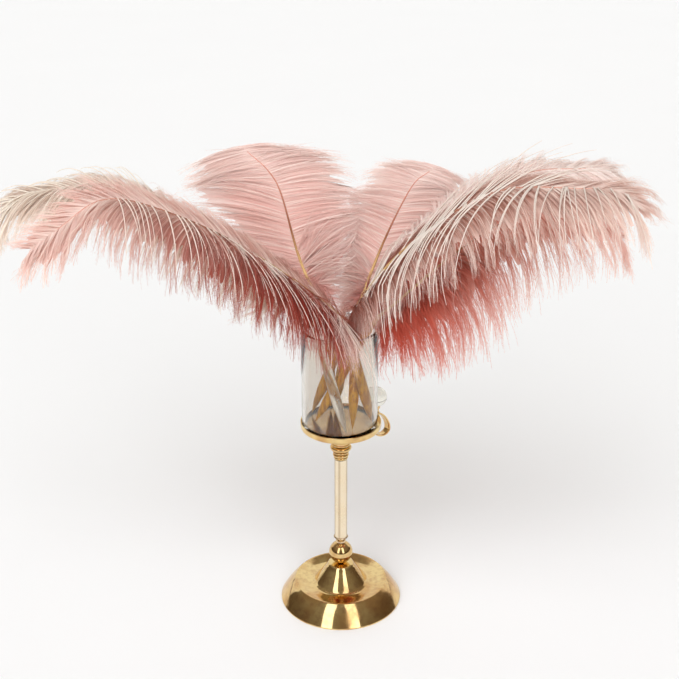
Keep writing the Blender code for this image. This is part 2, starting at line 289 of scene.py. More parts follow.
@dataclass(frozen=True)
class GiltFinish:
    """Plated gold with faint smudges, polished or brushed along its height, optionally with painted dark
    reflections.

    Args:
        name: Name of the material.
        light: Colour of the clean metal.
        worn: Colour where the plating is a little thicker or tarnished.
        rough: Roughness of the clean metal.
        smudge: How much rougher a smudge is.
        brushed: Depth of brush lines along the height, in millimetres.
        painted_dark_reflections: Whether a thin line of painted dark reflection runs up its front and
            its left and right sides are painted darker as reflections; without them it has small dark
            flecks.
        dull: Colour of the flecks and of the painted dark reflections.
    """

    name: str
    light: Colour = dye(240, 212, 150)
    worn: Colour = dye(216, 172, 112)
    rough: float = 0.07
    smudge: float = 0.12
    brushed: float = 0.0
    painted_dark_reflections: bool = False
    dull: Colour = dye(176, 128, 96)

    # The painted reflection line's place and soft edge, and where the painted dark reflections on the
    # sides begin, in metres
    REFLECTION_LINE_X = -0.0014
    REFLECTION_LINE_HALF = (0.0016, 0.0002)
    SIDES = (0.0042, 0.0056)

    def material(self) -> bpy.types.Material:
        """Make the material.

        Returns:
            The material.
        """
        board = Board(bpy.data.materials.new(self.name))
        cloud = board.noise(38.0, 4.0)
        speck = board.noise(420.0, 2.0)
        colour = board.blend(cloud.step(0.38, 0.66), self.light, self.worn)
        if self.painted_dark_reflections:
            # Painted dark reflections, placed by the object's X: a thin line up the front and darker
            # left and right sides
            place = board.add("ShaderNodeTexCoord", output="Object")
            side = board.add("ShaderNodeSeparateXYZ", None, {0: place}, "X")
            line = abs(side - self.REFLECTION_LINE_X).step(*self.REFLECTION_LINE_HALF)
            mask = 0.45 * line + 0.6 * abs(side).step(*self.SIDES)
        else:
            mask = 0.35 * board.noise(210.0, 5.0).step(0.42, 0.72)
        colour = board.blend(mask, colour, self.dull)
        rough = self.rough + self.smudge * cloud.step(0.45, 0.7) + 0.05 * speck.step(0.5, 0.75)
        lines = board.noise(260.0, 2.0, (7.0, 7.0, 0.06)) if self.brushed else board.noise(30.0, 1.0)
        normal = board.bump(lines, (self.brushed or 0.02) * MM, 0.6 if self.brushed else 0.15)
        return board.finish(board.principled({
            "Base Color": colour, "Metallic": 1.0, "Roughness": rough, "Normal": normal}))


@dataclass(frozen=True)
class GlassFinish:
    """See-through glass with a slight tint and a few faint wipe marks.

    Args:
        name: Name of the material.
        tint: Colour of light that has passed a wall.
        ior: Index of refraction.
        rough: Roughness of the clean surface.
    """

    name: str
    tint: Colour
    ior: float = 1.5
    rough: float = 0.0

    def material(self) -> bpy.types.Material:
        """Make the material.

        Returns:
            The material.
        """
        board = Board(bpy.data.materials.new(self.name))
        wipe = board.noise(24.0, 3.0, (1.0, 1.0, 0.3))
        rough = self.rough + 0.03 * wipe.step(0.52, 0.75)
        return board.finish(board.principled({
            "Base Color": (*self.tint, 1.0), "Roughness": rough, "IOR": self.ior,
            "Transmission Weight": 1.0}))


@dataclass(frozen=True)
class QuillFinish:
    """Horn of a quill: dyed amber and cloudy, or clear.

    Args:
        name: Name of the material.
        deep: Colour in the thick middle.
        pale: Colour of the streaks.
        passing: Share of light that goes through clearly.
        cloudy: Share of light that the horn scatters inside.
    """

    name: str
    deep: Colour = dye(216, 148, 0)
    pale: Colour = dye(250, 192, 0)
    passing: float = 0.15
    cloudy: float = 0.15

    def material(self) -> bpy.types.Material:
        """Make the material.

        Returns:
            The material.
        """
        board = Board(bpy.data.materials.new(self.name))
        streak = board.noise(90.0, 3.0, (4.0, 4.0, 0.35))
        colour = board.blend(streak.step(0.35, 0.7), self.deep, self.pale)
        horn = board.principled({
            "Base Color": colour, "Roughness": 0.18 + 0.2 * streak, "IOR": 1.54,
            "Transmission Weight": self.passing, "Specular IOR Level": 0.2,
            "Coat Weight": 0.1, "Coat Roughness": 0.12,
            "Normal": board.bump(streak, 0.08 * MM)})
        glow = board.add("ShaderNodeBsdfTranslucent", None, {"Color": (*self.pale, 1.0)})
        return board.finish(board.add("ShaderNodeMixShader", None, {0: self.cloudy, 1: horn, 2: glow}))


# A clear quill: its deep and pale colours, and how much light passes and is scattered
CLEAR_HORN = (dye(250, 248, 242), dye(255, 252, 248), 0.98, 0.02)


@dataclass(frozen=True)
class ShaftFinish:
    """Dyed shaft: light gold at the foot, brown in the middle and pink toward the head.

    Args:
        name: Name of the material.
        foot: Colour at the rim of the glass.
        middle: Colour half-way.
        head: Colour at the thin end.
    """

    name: str
    foot: Colour = dye(214, 178, 118)
    middle: Colour = dye(140, 84, 52)
    head: Colour = dye(214, 150, 132)

    def material(self) -> bpy.types.Material:
        """Make the material.

        Returns:
            The material.
        """
        board = Board(bpy.data.materials.new(self.name))
        along = board.mark("along")
        grain = board.noise(300.0, 2.0, (1.0, 1.0, 0.25))
        colour = board.ramp(along + 0.06 * grain, [(0.0, self.foot), (0.3, self.foot),
                                                  (0.55, self.middle), (1.0, self.head)])
        return board.finish(board.principled({
            "Base Color": colour, "Roughness": 0.34 + 0.2 * grain, "Coat Weight": 0.25,
            "Coat Roughness": 0.2, "Normal": board.bump(grain, 0.05 * MM)}))


@dataclass(frozen=True)
class DownFinish:
    """Dyed barbs and down: painted shade at the foot of the plume and between strands, paler toward the
    barbs' ends.

    Args:
        name: Name of the material.
        deep: Painted shade near the foot of the plume and between strands, in the down's dyed hue.
        body: Colour of most of the vane.
        pale: Colour of the barbs' ends.
        bare: Colour of the strands without down.
        under: Painted shade of the web that shows between strands.
        passing: Share of light that shines through a barb.
        dark_to: Place along the vane up to which the painted shade of the deep colour shows.
        ends: How much further from the foot the barbs' ends count in the painted shade, or nearer if
            negative.
        crown: How pale the head is, from 0 to 1.
    """

    name: str
    deep: Colour
    body: Colour
    pale: Colour
    bare: Colour
    under: Colour
    passing: float = 0.3
    dark_to: float = 0.5
    ends: float = 0.25
    crown: float = 0.5

    def material(self) -> bpy.types.Material:
        """Make the material.

        Returns:
            The material.
        """
        board = Board(bpy.data.materials.new(self.name))
        along, share = board.mark("along"), board.mark("share")
        tint, bare, under = board.mark("tint"), board.mark("bare"), board.mark("under")
        cloud = board.noise(26.0, 2.0)
        # Painted shade: lit is low near the foot of the plume, where the deep colour stands in for shade
        lit = (share + self.ends * along + 0.3 * cloud).step(0.12, 0.2 + self.dark_to)
        crown = self.crown * (share + 0.3 * cloud).step(0.6, 1.15)
        colour = board.blend(lit, self.deep, self.body)
        colour = board.blend((along + 0.3 * cloud).step(0.45, 1.15) * lit, colour, self.pale)
        # Painted shade between strands: barbs far from their strand's middle have a high tint and lean
        # to the deep colour; the rest of the tint is random tone
        colour = board.blend(0.5 * tint, colour, self.deep)
        colour = board.blend(crown, colour, self.pale)
        # Pale strands stay dark inside the painted shade near the foot
        colour = board.blend(bare - 0.8 * (1.0 - lit), colour, self.bare)
        # The web behind the strands is painted shade: the deep colour near the foot, elsewhere the under
        # colour mixed with the body by a random tint
        web = board.blend(lit, self.deep, board.blend(0.7 * tint, self.under, self.body))
        web = board.blend((along + 0.3 * cloud).step(0.6, 1.3) * lit, web, self.pale)
        web = board.blend(0.7 * crown, web, self.pale)
        colour = board.blend(under, colour, web)
        solid = board.principled({
            "Base Color": colour, "Roughness": 0.5 + 0.2 * cloud, "Specular IOR Level": 0.3,
            "Sheen Weight": 0.2, "Sheen Roughness": 0.5, "Sheen Tint": (*self.pale, 1.0)})
        shine = board.add("ShaderNodeBsdfTranslucent", None, {"Color": (*self.body, 1.0)})
        return board.finish(board.add("ShaderNodeMixShader", None,
                                      {0: self.passing, 1: solid, 2: shine}))


@dataclass(frozen=True)
class PaperFinish:
    """Plain pale paper of the studio floor.

    Args:
        name: Name of the material.
        colour: Colour of the paper.
    """

    name: str = "studio_paper"
    colour: Colour = (0.9, 0.9, 0.905)

    def material(self) -> bpy.types.Material:
        """Make the material.

        Returns:
            The material.
        """
        board = Board(bpy.data.materials.new(self.name))
        grain = board.noise(3.0, 2.0)
        colour = board.blend(grain, self.colour, tuple(0.985 * c for c in self.colour))
        return board.finish(board.principled({"Base Color": colour, "Roughness": 0.9,
                                              "Specular IOR Level": 0.1}))


# ----- Meshes -----

class Threads:
    """Triangles of one piece, in millimetres, gathered before its mesh is made."""

    MARKS = ("along", "share", "tint", "bare", "under")

    def __init__(self) -> None:
        """Start with nothing."""
        self.points: list[Array] = []
        self.faces: list[Array] = []
        self.slots: list[Array] = []
        self.marks: dict[str, list[Array]] = {name: [] for name in self.MARKS}
        self.places: list[Array] = []
        self.count = 0

    def add(self, points: Array, faces: Array, place: Optional[Array] = None,
            slot: int = 0, **marks: Union[Array, float]) -> None:
        """Add triangles.

        Args:
            points: Corners, as rows of x, y, z.
            faces: Rows of three corner numbers.
            place: Each corner's place on the bake map, as rows of u, v.
            slot: The material slot of these triangles.
            marks: Numbers by name, one for each corner or for each item, where the items follow each
                other and have equally many corners; the others are zero.
        """
        size = len(points)
        self.points.append(points)
        self.faces.append(faces + self.count)
        self.slots.append(np.full(len(faces), slot, np.int32))
        self.places.append(np.zeros((size, 2)) if place is None else place)
        for name in self.MARKS:
            values = np.ravel(marks.get(name, 0.0)).astype(float)
            self.marks[name].append(np.repeat(values, size // len(values)))
        self.count += size

    def add_turned(self, rows: Array, centre: Pair, steps: int) -> None:
        """Add a surface that is turned round an upright axis.

        Args:
            rows: Its profile, as rows of radius and height.
            centre: Where the axis stands on the floor plan.
            steps: Number of steps round it.
        """
        angle = np.arange(steps) * tau / steps
        ring = np.stack([np.cos(angle), np.sin(angle)], -1)
        flat = rows[:, None, :1] * ring[None] + np.array(centre)
        height = np.broadcast_to(rows[:, 1, None, None], (len(rows), steps, 1))
        points = np.concatenate([flat, height], -1).reshape(-1, 3)
        self.add(points, grid_faces(len(rows), steps, True))

    def piece(self, name: str, materials: Sequence[bpy.types.Material],
              marked: bool = True) -> bpy.types.Object:
        """Make the object.

        Args:
            name: Name of the piece.
            materials: Materials by slot.
            marked: Whether the mesh stores the marks and the bake map.

        Returns:
            The new object, linked to the scene.
        """
        points = np.concatenate(self.points) * MM
        faces = np.concatenate(self.faces).astype(np.int32)
        mesh = bpy.data.meshes.new(name)
        mesh.vertices.add(len(points))
        mesh.vertices.foreach_set("co", points.astype(np.float32).ravel())
        mesh.loops.add(faces.size)
        mesh.loops.foreach_set("vertex_index", faces.ravel())
        mesh.polygons.add(len(faces))
        mesh.polygons.foreach_set("loop_start", np.arange(0, faces.size, 3, dtype=np.int32))
        mesh.polygons.foreach_set("material_index", np.concatenate(self.slots))
        mesh.polygons.foreach_set("use_smooth", np.full(len(faces), True))
        if marked:
            for key, values in self.marks.items():
                layer = mesh.attributes.new(key, "FLOAT", "POINT")
                layer.data.foreach_set("value", np.concatenate(values).astype(np.float32))
            uv = mesh.uv_layers.new(name="OFBake")
            places = np.concatenate(self.places)[faces.ravel()]
            uv.data.foreach_set("uv", places.astype(np.float32).ravel())
        mesh.update(calc_edges=True)
        for material in materials:
            mesh.materials.append(material)
        item = bpy.data.objects.new(name, mesh)
        bpy.context.scene.collection.objects.link(item)
        return item


def grid_faces(rows: int, columns: int, closed: bool) -> Array:
    """Triangles of a grid of points.

    Args:
        rows: Number of rows.
        columns: Number of points in a row.
        closed: Whether each row closes on itself.

    Returns:
        Rows of three point numbers.
    """
    across = columns if closed else columns - 1
    row, column = np.meshgrid(np.arange(rows - 1), np.arange(across), indexing="ij")
    after = (column + 1) % columns
    a, b = row * columns + column, row * columns + after
    c, d = a + columns, b + columns
    return np.concatenate([np.stack(corners, -1).reshape(-1, 3) for corners in ([a, b, d], [a, d, c])])


def repeated(faces: Array, points: int, times: int) -> Array:
    """Repeat one item's triangles for items that follow each other.

    Args:
        faces: Triangles of the first item.
        points: Number of points in an item.
        times: Number of items.

    Returns:
        All triangles.
    """
    return (faces[None] + (np.arange(times) * points)[:, None, None]).reshape(-1, 3)


def resample(lines: Array, share: Array) -> Array:
    """Keep the first share of each line, with the same number of points.

    Args:
        lines: Points of the lines, as items, steps and coordinates.
        share: The share of each line that is kept.

    Returns:
        The new lines.
    """
    steps = lines.shape[1] - 1
    t = np.linspace(0.0, 1.0, steps + 1)[None] * share[:, None] * steps
    index = np.minimum(t.astype(int), steps - 1)
    part = (t - index)[:, :, None]
    row = np.arange(len(lines))[:, None]
    return weigh(lines[row, index], lines[row, index + 1], part)


def tubes(lines: Array, radii: Array, sides: int) -> tuple[Array, Array]:
    """Round tubes along many lines of equal length.

    Args:
        lines: Points of the lines, as items, steps and coordinates.
        radii: Radius at each point, as items and steps.
        sides: Number of sides.

    Returns:
        Points and triangles.
    """
    items, steps, _ = lines.shape
    tangent = unit(np.gradient(lines, axis=1))
    first = unit(np.cross(tangent, ASLANT))
    second = np.cross(tangent, first)
    angle = np.arange(sides) * tau / sides
    ring = first[:, :, None] * np.cos(angle)[:, None] + second[:, :, None] * np.sin(angle)[:, None]
    points = lines[:, :, None] + ring * radii[:, :, None, None]
    faces = repeated(grid_faces(steps, sides, True), steps * sides, items)
    return points.reshape(-1, 3), faces


# ----- Plumes -----

# Bands of the bake map, as first row and height, and the half of its width that one side takes
THREAD_BAND = (0.01, 0.78)
DOWN_BAND = (0.01, 0.77)
STRAND_BAND = (0.82, 0.08)
WEB_BAND = (0.92, 0.07)
HALF_MAP = 0.5


def band(rows: Pair, part: Array) -> Array:
    """Rows of the bake map at parts of a band's height."""
    return rows[0] + rows[1] * part


class Side(Enum):
    """Side of a plume, seen from above with its head forward."""

    RIGHT = 1
    LEFT = -1


class Route:
    """Polyline that can be asked for points and headings at lengths along it."""

    SPAN = 3.0

    def __init__(self, points: Array) -> None:
        """Measure the polyline.

        Args:
            points: Its points.
        """
        self.points = points
        gaps = np.linalg.norm(np.diff(points, axis=0), axis=1)
        self.marks = np.concatenate([[0.0], np.cumsum(gaps)])
        self.length = float(self.marks[-1])

    def at(self, lengths: Array) -> Array:
        """Points at lengths, clamped to the ends."""
        return np.stack([np.interp(lengths, self.marks, self.points[:, k]) for k in range(3)], -1)

    def heading(self, lengths: Array) -> Array:
        """Unit directions at lengths."""
        return unit(self.at(lengths + self.SPAN) - self.at(lengths - self.SPAN))


def spline(points: Array, first: Array, steps: int = 14) -> Array:
    """Smooth route through points.

    Args:
        points: Points on the route.
        first: Direction in which it leaves the first point.
        steps: Number of steps between two points.

    Returns:
        Points along the route.
    """
    tangents = np.empty_like(points)
    tangents[0] = first * np.linalg.norm(points[1] - points[0])
    tangents[-1] = points[-1] - points[-2]
    tangents[1:-1] = (points[2:] - points[:-2]) / 2.0
    t = (np.arange(steps) / steps)[:, None]
    parts = []
    for a, b, ta, tb in zip(points, points[1:], tangents, tangents[1:]):
        parts.append(a * (2 * t ** 3 - 3 * t ** 2 + 1) + ta * (t ** 3 - 2 * t ** 2 + t)
                     + b * (3 * t ** 2 - 2 * t ** 3) + tb * (t ** 3 - t ** 2))
    return np.concatenate(parts + [points[-1:]])


@dataclass(frozen=True)
class Wedge:
    """Space of one plume: two upright planes through the stand's axis, bent a little with radius.

    Args:
        low: Near and far angle of the clockwise side, in degrees.
        high: Near and far angle of the anticlockwise side, in degrees.
        near_r: Radius up to which the near angles hold.
        far_r: Radius from which the far angles hold.
        core_r: Nearer to the axis the overlap counts as if it were this far out.
        most: Largest overlap, as a share of the radius.
    """

    low: Pair
    high: Pair
    near_r: float = 50.0
    far_r: float = 240.0
    core_r: float = 4.0
    most: float = 0.9

    def _side(self, pair: Pair, radius: Array) -> Array:
        """Angle of one side at radii."""
        return np.radians(between(pair, clamp((radius - self.near_r) / (self.far_r - self.near_r))))

    def keep(self, points: Array, overlap: float) -> Array:
        """Move points inside the wedge.

        Args:
            points: Points in millimetres.
            overlap: How far they may reach into the neighbour's wedge.

        Returns:
            The moved points, at their own radius and height.
        """
        radius = np.hypot(points[:, 0], points[:, 1])
        low, high = self._side(self.low, radius), self._side(self.high, radius)
        middle = (low + high) / 2.0
        more = np.minimum(self.most, overlap / np.maximum(radius, self.core_r))
        half = (high - low) / 2.0 + np.arcsin(more)
        turn = (np.arctan2(points[:, 1], points[:, 0]) - middle + pi) % tau - pi
        angle = middle + np.clip(turn, -half, half)
        return np.stack([radius * np.cos(angle), radius * np.sin(angle), points[:, 2]], -1)


def keep_off_glass(points: Array) -> Array:
    """Push hanging barbs outside the glass and over its rim in a round hump.

    Args:
        points: Points in millimetres.

    Returns:
        The moved points.
    """
    dx, dy, z = points[:, 0] - GLASS_X, points[:, 1], points[:, 2]
    radius = np.maximum(np.hypot(dx, dy), 0.001)
    out, up = radius - HUMP_RING_R, z - HUMP_RING_Z
    reach = np.maximum(np.hypot(out, up), 0.001)
    below, inner, near = z < HUMP_RING_Z, radius < HUMP_RING_R, reach < HUMP
    push = ~below & ~inner & near
    new_r = np.where(push, HUMP_RING_R + out * HUMP / reach, radius)
    new_r = np.where(below, np.maximum(radius, HANG_R), new_r)
    new_z = np.where(push, HUMP_RING_Z + up * HUMP / reach, z)
    new_z = np.where(~below & inner, np.maximum(z, HUMP_RING_Z + HUMP), new_z)
    return np.stack([GLASS_X + dx * new_r / radius, dy * new_r / radius, new_z], -1)


@dataclass(frozen=True)
class BarbStyle:
    """How the vanes of one plume are filled.

    Args:
        pitch: Distance between strands of barbs along the shaft.
        fibres: Barbs in a strand.
        down: Length of the down on a barb.
        down_gap: Distance between the pieces of down along a barb.
        blade: Width of a piece of down at its foot.
        width: Width of a strand's main barb at its foot.
        light: How far the barbs are paler than their down, from 0 to 1.
        frizz: How far a strand strays from its line at its end.
        fray: How far a strand's barbs part at their ends.
        gather: How strongly the barbs of a strand gather along its middle line, from 0 to 1.
        clump: How strongly strands gather into locks at their ends, from 0 to 1.
        loose: How far strands rise from and sink below the vane's plane.
        ragged: Share of its length that a barb may fall short.
        head_sag: How strongly the strands of the head sink, as a share of the others.
        web: Length of the web behind the strands, as a share of theirs.
        pale_right: How much further from the foot the right vane counts in its colours, so the painted
            shade near the foot reaches less far on it.
    """

    pitch: float = 3.0
    fibres: int = 9
    down: float = 3.8
    down_gap: float = 1.6
    blade: float = 0.36
    width: float = 1.1
    light: float = 0.8
    frizz: float = 1.2
    fray: float = 2.4
    gather: float = 0.5
    clump: float = 0.2
    loose: float = 0.05
    ragged: float = 0.35
    head_sag: float = 1.0
    web: float = 0.75
    pale_right: float = 0.0


@dataclass(frozen=True)
class Tuft:
    """Short soft barbs on every side of the shaft, as at the foot of a vane.

    Args:
        count: Number of strands.
        shares: Where along the vane the first and the last one leave the shaft.
        lean: How far the first and the last one point forward, in degrees.
        length: Length of the first and the last one.
        sag: How strongly they sink.
        lift: How far they rise from the vane's plane or point below it.
        right: Share of them on the right of the shaft.
        shown: How much further from the foot they count in their colours, so the painted shade near the
            foot reaches less far on them.
    """

    count: int
    shares: Pair
    lean: Pair
    length: Pair
    sag: float = 0.5
    lift: float = 0.5
    right: float = 0.5
    shown: float = 0.0

    # Barbs in a strand, and the scatter of leans by strand and by barb, of lengths and of lifts
    FIBRES = 5
    LEAN_SCATTER = (12.0, 4.0)
    LENGTHS = (0.6, 1.1)
    LIFT_SCATTER = 0.06


@dataclass(frozen=True)
class BareStrands:
    """Long strands without down that lie over a vane.

    Args:
        side: The vane they lie on.
        count: Number of strands.
        shares: Where along the vane the first and the last one leave the shaft.
        lean: How far the first and the last one point forward, in degrees.
        length: Length of the first and the last one.
        sag: How strongly the first and the last one sink.
        outward: How far they bend outward at their ends.
        radius: Radius of a strand at its foot.
    """

    side: Side
    count: int
    shares: Pair
    lean: Pair
    length: Pair
    sag: Pair
    outward: float = 0.2
    radius: float = 0.62

    # Sides of a strand and its scatter; its least lift, height over the vane, sway and thinning
    SIDES = 4
    LEAN_SCATTER = 6.0
    LENGTH_SCATTER = 0.14
    SAG_SCATTER = 0.1
    LIFT = (0.12, 0.05)
    ABOVE = (0.8, 1.6)
    SWAY = 1.4
    SWAY_TOWARD = np.array([1.0, 0.2, 0.0])
    TAPER = 0.75
    THICKNESS = (0.7, 1.2)
    PALE = (1.5, 1.9)


@dataclass
class Strands:
    """Barbs as they lie in their strands.

    Args:
        lines: Their lines, as barbs, steps and coordinates.
        share: Their places along the vane.
        owner: The strand of each.
        place: The place of each in its strand, from -0.5 to 0.5.
        tint: The tint of its strand.
        side: 1 on the right vane and -1 on the left one.
        middles: Middle lines of the strands, right vane first, where a web joins them.
        centres: Places of the strands along the vane.
        shown: How much further from the foot they count in their colours, so the painted shade near the
            foot reaches less far on them.
    """

    lines: Array
    share: Array
    owner: Array
    place: Array
    tint: Array
    side: Array
    middles: Optional[Array] = None
    centres: Optional[Array] = None
    shown: float = 0.0


@dataclass
class Barbs:
    """The barbs of a plume before they get their threads and down.

    Args:
        plume: The plume they stand on.
        lines: Their lines, as barbs, steps and coordinates.
        along: The shaft's heading at their feet.
        share: Their places along the vane.
        tint: Their tints: random tone, plus painted shade that grows toward a strand's edges.
        bare: How far each is paler than its down.
        width: Width of each at its foot.
    """

    plume: "Plume"
    lines: Array
    along: Array
    share: Array
    tint: Array
    bare: Array
    width: Array

    # Columns of the bake map, and the places of a thread's edges and a blade's corners in one
    COLUMNS = 160
    THREAD_EDGES = np.array([0.08, 0.42])
    DOWN_CORNERS = np.array([0.58, 0.92, 0.75])
    # Thread: largest twist and how it thins; down: places, depth, angle to the barb, and lengths
    TWIST = 0.9
    TAPER = 0.78
    DOWN_AT = (0.015, 0.99)
    DOWN_DEPTH = (-0.3, 2.0)
    DOWN_OPENS = (10.0, 38.0)
    DOWN_LENGTH = (0.5, 1.3)

    def __post_init__(self) -> None:
        """Find each barb's axes and its column on the bake map."""
        self.axes = frames(self.lines, self.along)
        self.column = np.arange(len(self.lines)) * self.COLUMNS // len(self.lines)

    def add_ribbons(self) -> None:
        """Add each barb's own flat thread."""
        items, steps, _ = self.lines.shape
        t = self.plume.T
        _, flat, normal = self.axes
        twist = self.plume.rng.uniform(-self.TWIST, self.TWIST, items)[:, None, None]
        edge = flat * np.cos(twist) + normal * np.sin(twist)
        half = self.width[:, None, None] / 2.0 * (1.0 - self.TAPER * t)[None, :, None]
        points = np.stack([self.lines - edge * half, self.lines + edge * half], 2).reshape(-1, 3)
        u = (self.column[:, None, None] + self.THREAD_EDGES) / self.COLUMNS + np.zeros((1, steps, 1))
        v = np.broadcast_to(band(THREAD_BAND, t)[None, :, None], u.shape)
        self.plume.threads.add(points, repeated(grid_faces(steps, 2, False), steps * 2, items),
                               np.stack([u, v], -1).reshape(-1, 2),
                               along=np.tile(np.repeat(t, 2), items), share=self.share, tint=self.tint,
                               bare=self.bare)

    def add_down(self) -> None:
        """Add the down: fine blades that point forward on every side of a barb."""
        style, rng = self.plume.style, self.plume.rng
        items, steps, _ = self.lines.shape
        size = np.linalg.norm(np.diff(self.lines, axis=1), axis=-1).sum(1)
        owner = np.repeat(np.arange(items), (size / style.down_gap).astype(int))
        count = len(owner)
        t = rng.uniform(*self.DOWN_AT, count)
        index = np.minimum((t * (steps - 1)).astype(int), steps - 2)
        foot = weigh(self.lines[owner, index], self.lines[owner, index + 1],
                     (t * (steps - 1) - index)[:, None])
        tangent, flat, normal = (axis[owner, index] for axis in self.axes)
        outer = np.sign((self.axes[2][:, 1] * self.plume.facing).sum(-1))[owner][:, None] * normal
        foot = foot - outer * rng.uniform(*self.DOWN_DEPTH, count)[:, None]
        around = rng.normal(0.0, 0.7, count) + pi * (rng.uniform(0.0, 1.0, count) < 0.5)
        opens = np.radians(rng.uniform(*self.DOWN_OPENS, count))[:, None]
        out = flat * np.cos(around)[:, None] + normal * np.sin(around)[:, None]
        length = style.down * (0.3 + 0.7 * np.sin(pi * clamp(t * 1.02) ** 0.75))
        length = (length * rng.uniform(*self.DOWN_LENGTH, count))[:, None]
        blade = unit(tangent * np.cos(opens) + out * np.sin(opens) + DOWN * 0.1)
        half = tangent * style.blade / 2.0
        points = np.stack([foot - half, foot + half, foot + blade * length], 1).reshape(-1, 3)
        u = (self.column[owner][:, None] + self.DOWN_CORNERS) / self.COLUMNS
        v = band(DOWN_BAND, t)[:, None] + np.array([0.0, 0.0, 0.012])
        self.plume.threads.add(points, np.arange(count * 3).reshape(-1, 3),
                               np.stack([u, v], -1).reshape(-1, 2),
                               along=t, share=self.share[owner], tint=self.tint[owner])


@dataclass
class Plume:
    """One ostrich feather: a quill and shaft, and on each side a soft drooping vane of barbs.

    Args:
        name: The CAD node that the plume replaces.
        tip: Place of the quill's lower end on the floor plan.
        rim: Where the quill crosses the rim of the glass, on the floor plan.
        route: Points of the shaft from there.
        face: Direction that the vanes' upper side looks.
        reach: Longest barbs on the right and on the left.
        droop: How strongly those barbs sink.
        shape: Reach at the foot, place of the full reach, and reach at the shaft's end.
        wedge: Space of the plume.
        dressing: Finish of the barbs.
        style: How the vanes are filled.
        head: How far the barbs of the head reach past the shaft.
        head_bend: How strongly the line on which they stand bends down there.
        start: Where the vane begins.
        lean: How far barbs point forward at the foot, and at the head on the right and left.
        press: A barb ends where its neighbour's wedge has pushed it back this far.
        tufts: Soft barbs at the foot.
        bare: Strands without down.
        clear_quill: Whether the quill is clear and not amber.
        seed: Number that fixes the plume's random draws.
    """

    name: str
    tip: Pair
    rim: Pair
    route: Sequence[Point]
    face: Point
    reach: Pair
    droop: Pair
    shape: tuple[float, float, float]
    wedge: Wedge
    dressing: DownFinish
    style: BarbStyle = BarbStyle()
    head: float = 40.0
    head_bend: float = 0.7
    start: float = 24.0
    lean: Point = (24.0, 54.0, 54.0)
    press: float = 60.0
    tufts: Sequence[Tuft] = ()
    bare: Sequence[BareStrands] = ()
    clear_quill: bool = False
    seed: int = 1

    # A barb's line: its steps, its points from foot to end, how its sinking grows, its fewest steps
    STEPS = 12
    T = np.linspace(0.0, 1.0, STEPS + 1)
    SINKS = 1.2
    SHORTEST = 3
    # The vane: where its last barbs stand, its stations, the left vane's first lock, the head's steps
    VANE_END = 0.985
    STATIONS = 33
    LOCKS = 20
    HEAD_STEPS = 8
    # Scatter: lengths and sags as shares, leans in degrees
    LENGTH_SCATTER = 0.03
    LEAN_SCATTER = 2.0
    SAG_SCATTER = 0.06
    # Locks: how strongly they gather, and how that grows; waves: their number and size
    LOCK_PULL = (0.35, 1.6)
    LOCK_DRAWN = 1.7
    WAVES = (0.6, 2.4)
    WAVE_SIZE = (0.3, 1.5)
    # Web: lines between two strands, its length, and its depth at the shaft, beyond it and in waves
    WEB_LINES = 3
    WEB_LENGTH = (0.62, 1.0)
    WEB_DEPTH = (0.3, 1.7, 0.8)
    # Quill and shaft: sides, rings from the tip, start and rings of the rest, and radii at places
    SPINE_SIDES = 14
    QUILL_AT = (0.0, 1.5, 4.0, 8.0, 13.0, 19.0, 26.0)
    QUILL_TOP = (36.0, 8)
    SHAFT_STEPS = 60
    QUILL_R = ((0.0, 4.0, 13.0, 26.0), (0.12, 1.1, 3.0, 4.5, 3.6))
    SHAFT_R = ((0.0, 0.1, 0.45, 0.8, 1.0), (3.4, 1.8, 1.0, 0.6, 0.28))

    def __post_init__(self) -> None:
        """Lay the shaft and the line on which the vanes stand."""
        self.rng = np.random.default_rng(self.seed)
        self.threads = Threads()
        self.facing = unit(np.array(self.face))
        self.foot = np.array([*self.tip, QUILL_TIP_Z])
        self.mouth = np.array([*self.rim, GLASS_RIM_Z])
        self.leave = unit(self.mouth - self.foot)
        shaft = spline(np.array([self.mouth, *self.route]), self.leave)
        end = unit(shaft[-1] - shaft[-2])
        bend = self.head_bend * min(1.0, self.head / 40.0)
        points = [shaft[-1]]
        for k in range(self.HEAD_STEPS):
            sag = bend * ((k + 0.5) / self.HEAD_STEPS) ** self.SINKS
            step = unit(end * (1.0 - sag) + DOWN * sag) * self.head / self.HEAD_STEPS
            points.append(points[-1] + step)
        self.shaft = Route(shaft)
        self.axis = Route(np.concatenate([shaft, points[1:]]))

    def mark(self, share: Array) -> Array:
        """Lengths along the axis at shares of the vane, 0 at its foot and 1 at its head."""
        return self.start + (self.axis.length - self.start) * share

    def lean_at(self, share: Array, vane: Array) -> Array:
        """Forward lean in degrees at shares of a vane, 0 right and 1 left."""
        head = np.array(self.lean)[1 + vane]
        return self.lean[0] + (head - self.lean[0]) * share ** 1.5

    def envelope(self, share: Array) -> Array:
        """Reach of the barbs along the vane.

        Args:
            share: Places along the vane.

        Returns:
            The reach at each, as a share of the longest barb.
        """
        shaft_share = (self.shaft.length - self.start) / (self.axis.length - self.start)
        foot, full_at, end = self.shape
        rise = foot + (1.0 - foot) * np.sin(clamp(share / (full_at * shaft_share)) * pi / 2)
        fall = 1.0 - (1.0 - end) * (share / shaft_share - full_at) / (1.0 - full_at)
        t = clamp((share - shaft_share) / (1.0 - shaft_share))
        crown = end * np.sqrt(np.maximum(0.0, 1.0 - t * t))
        return np.where(share < full_at * shaft_share, rise, np.where(share < shaft_share, fall, crown))

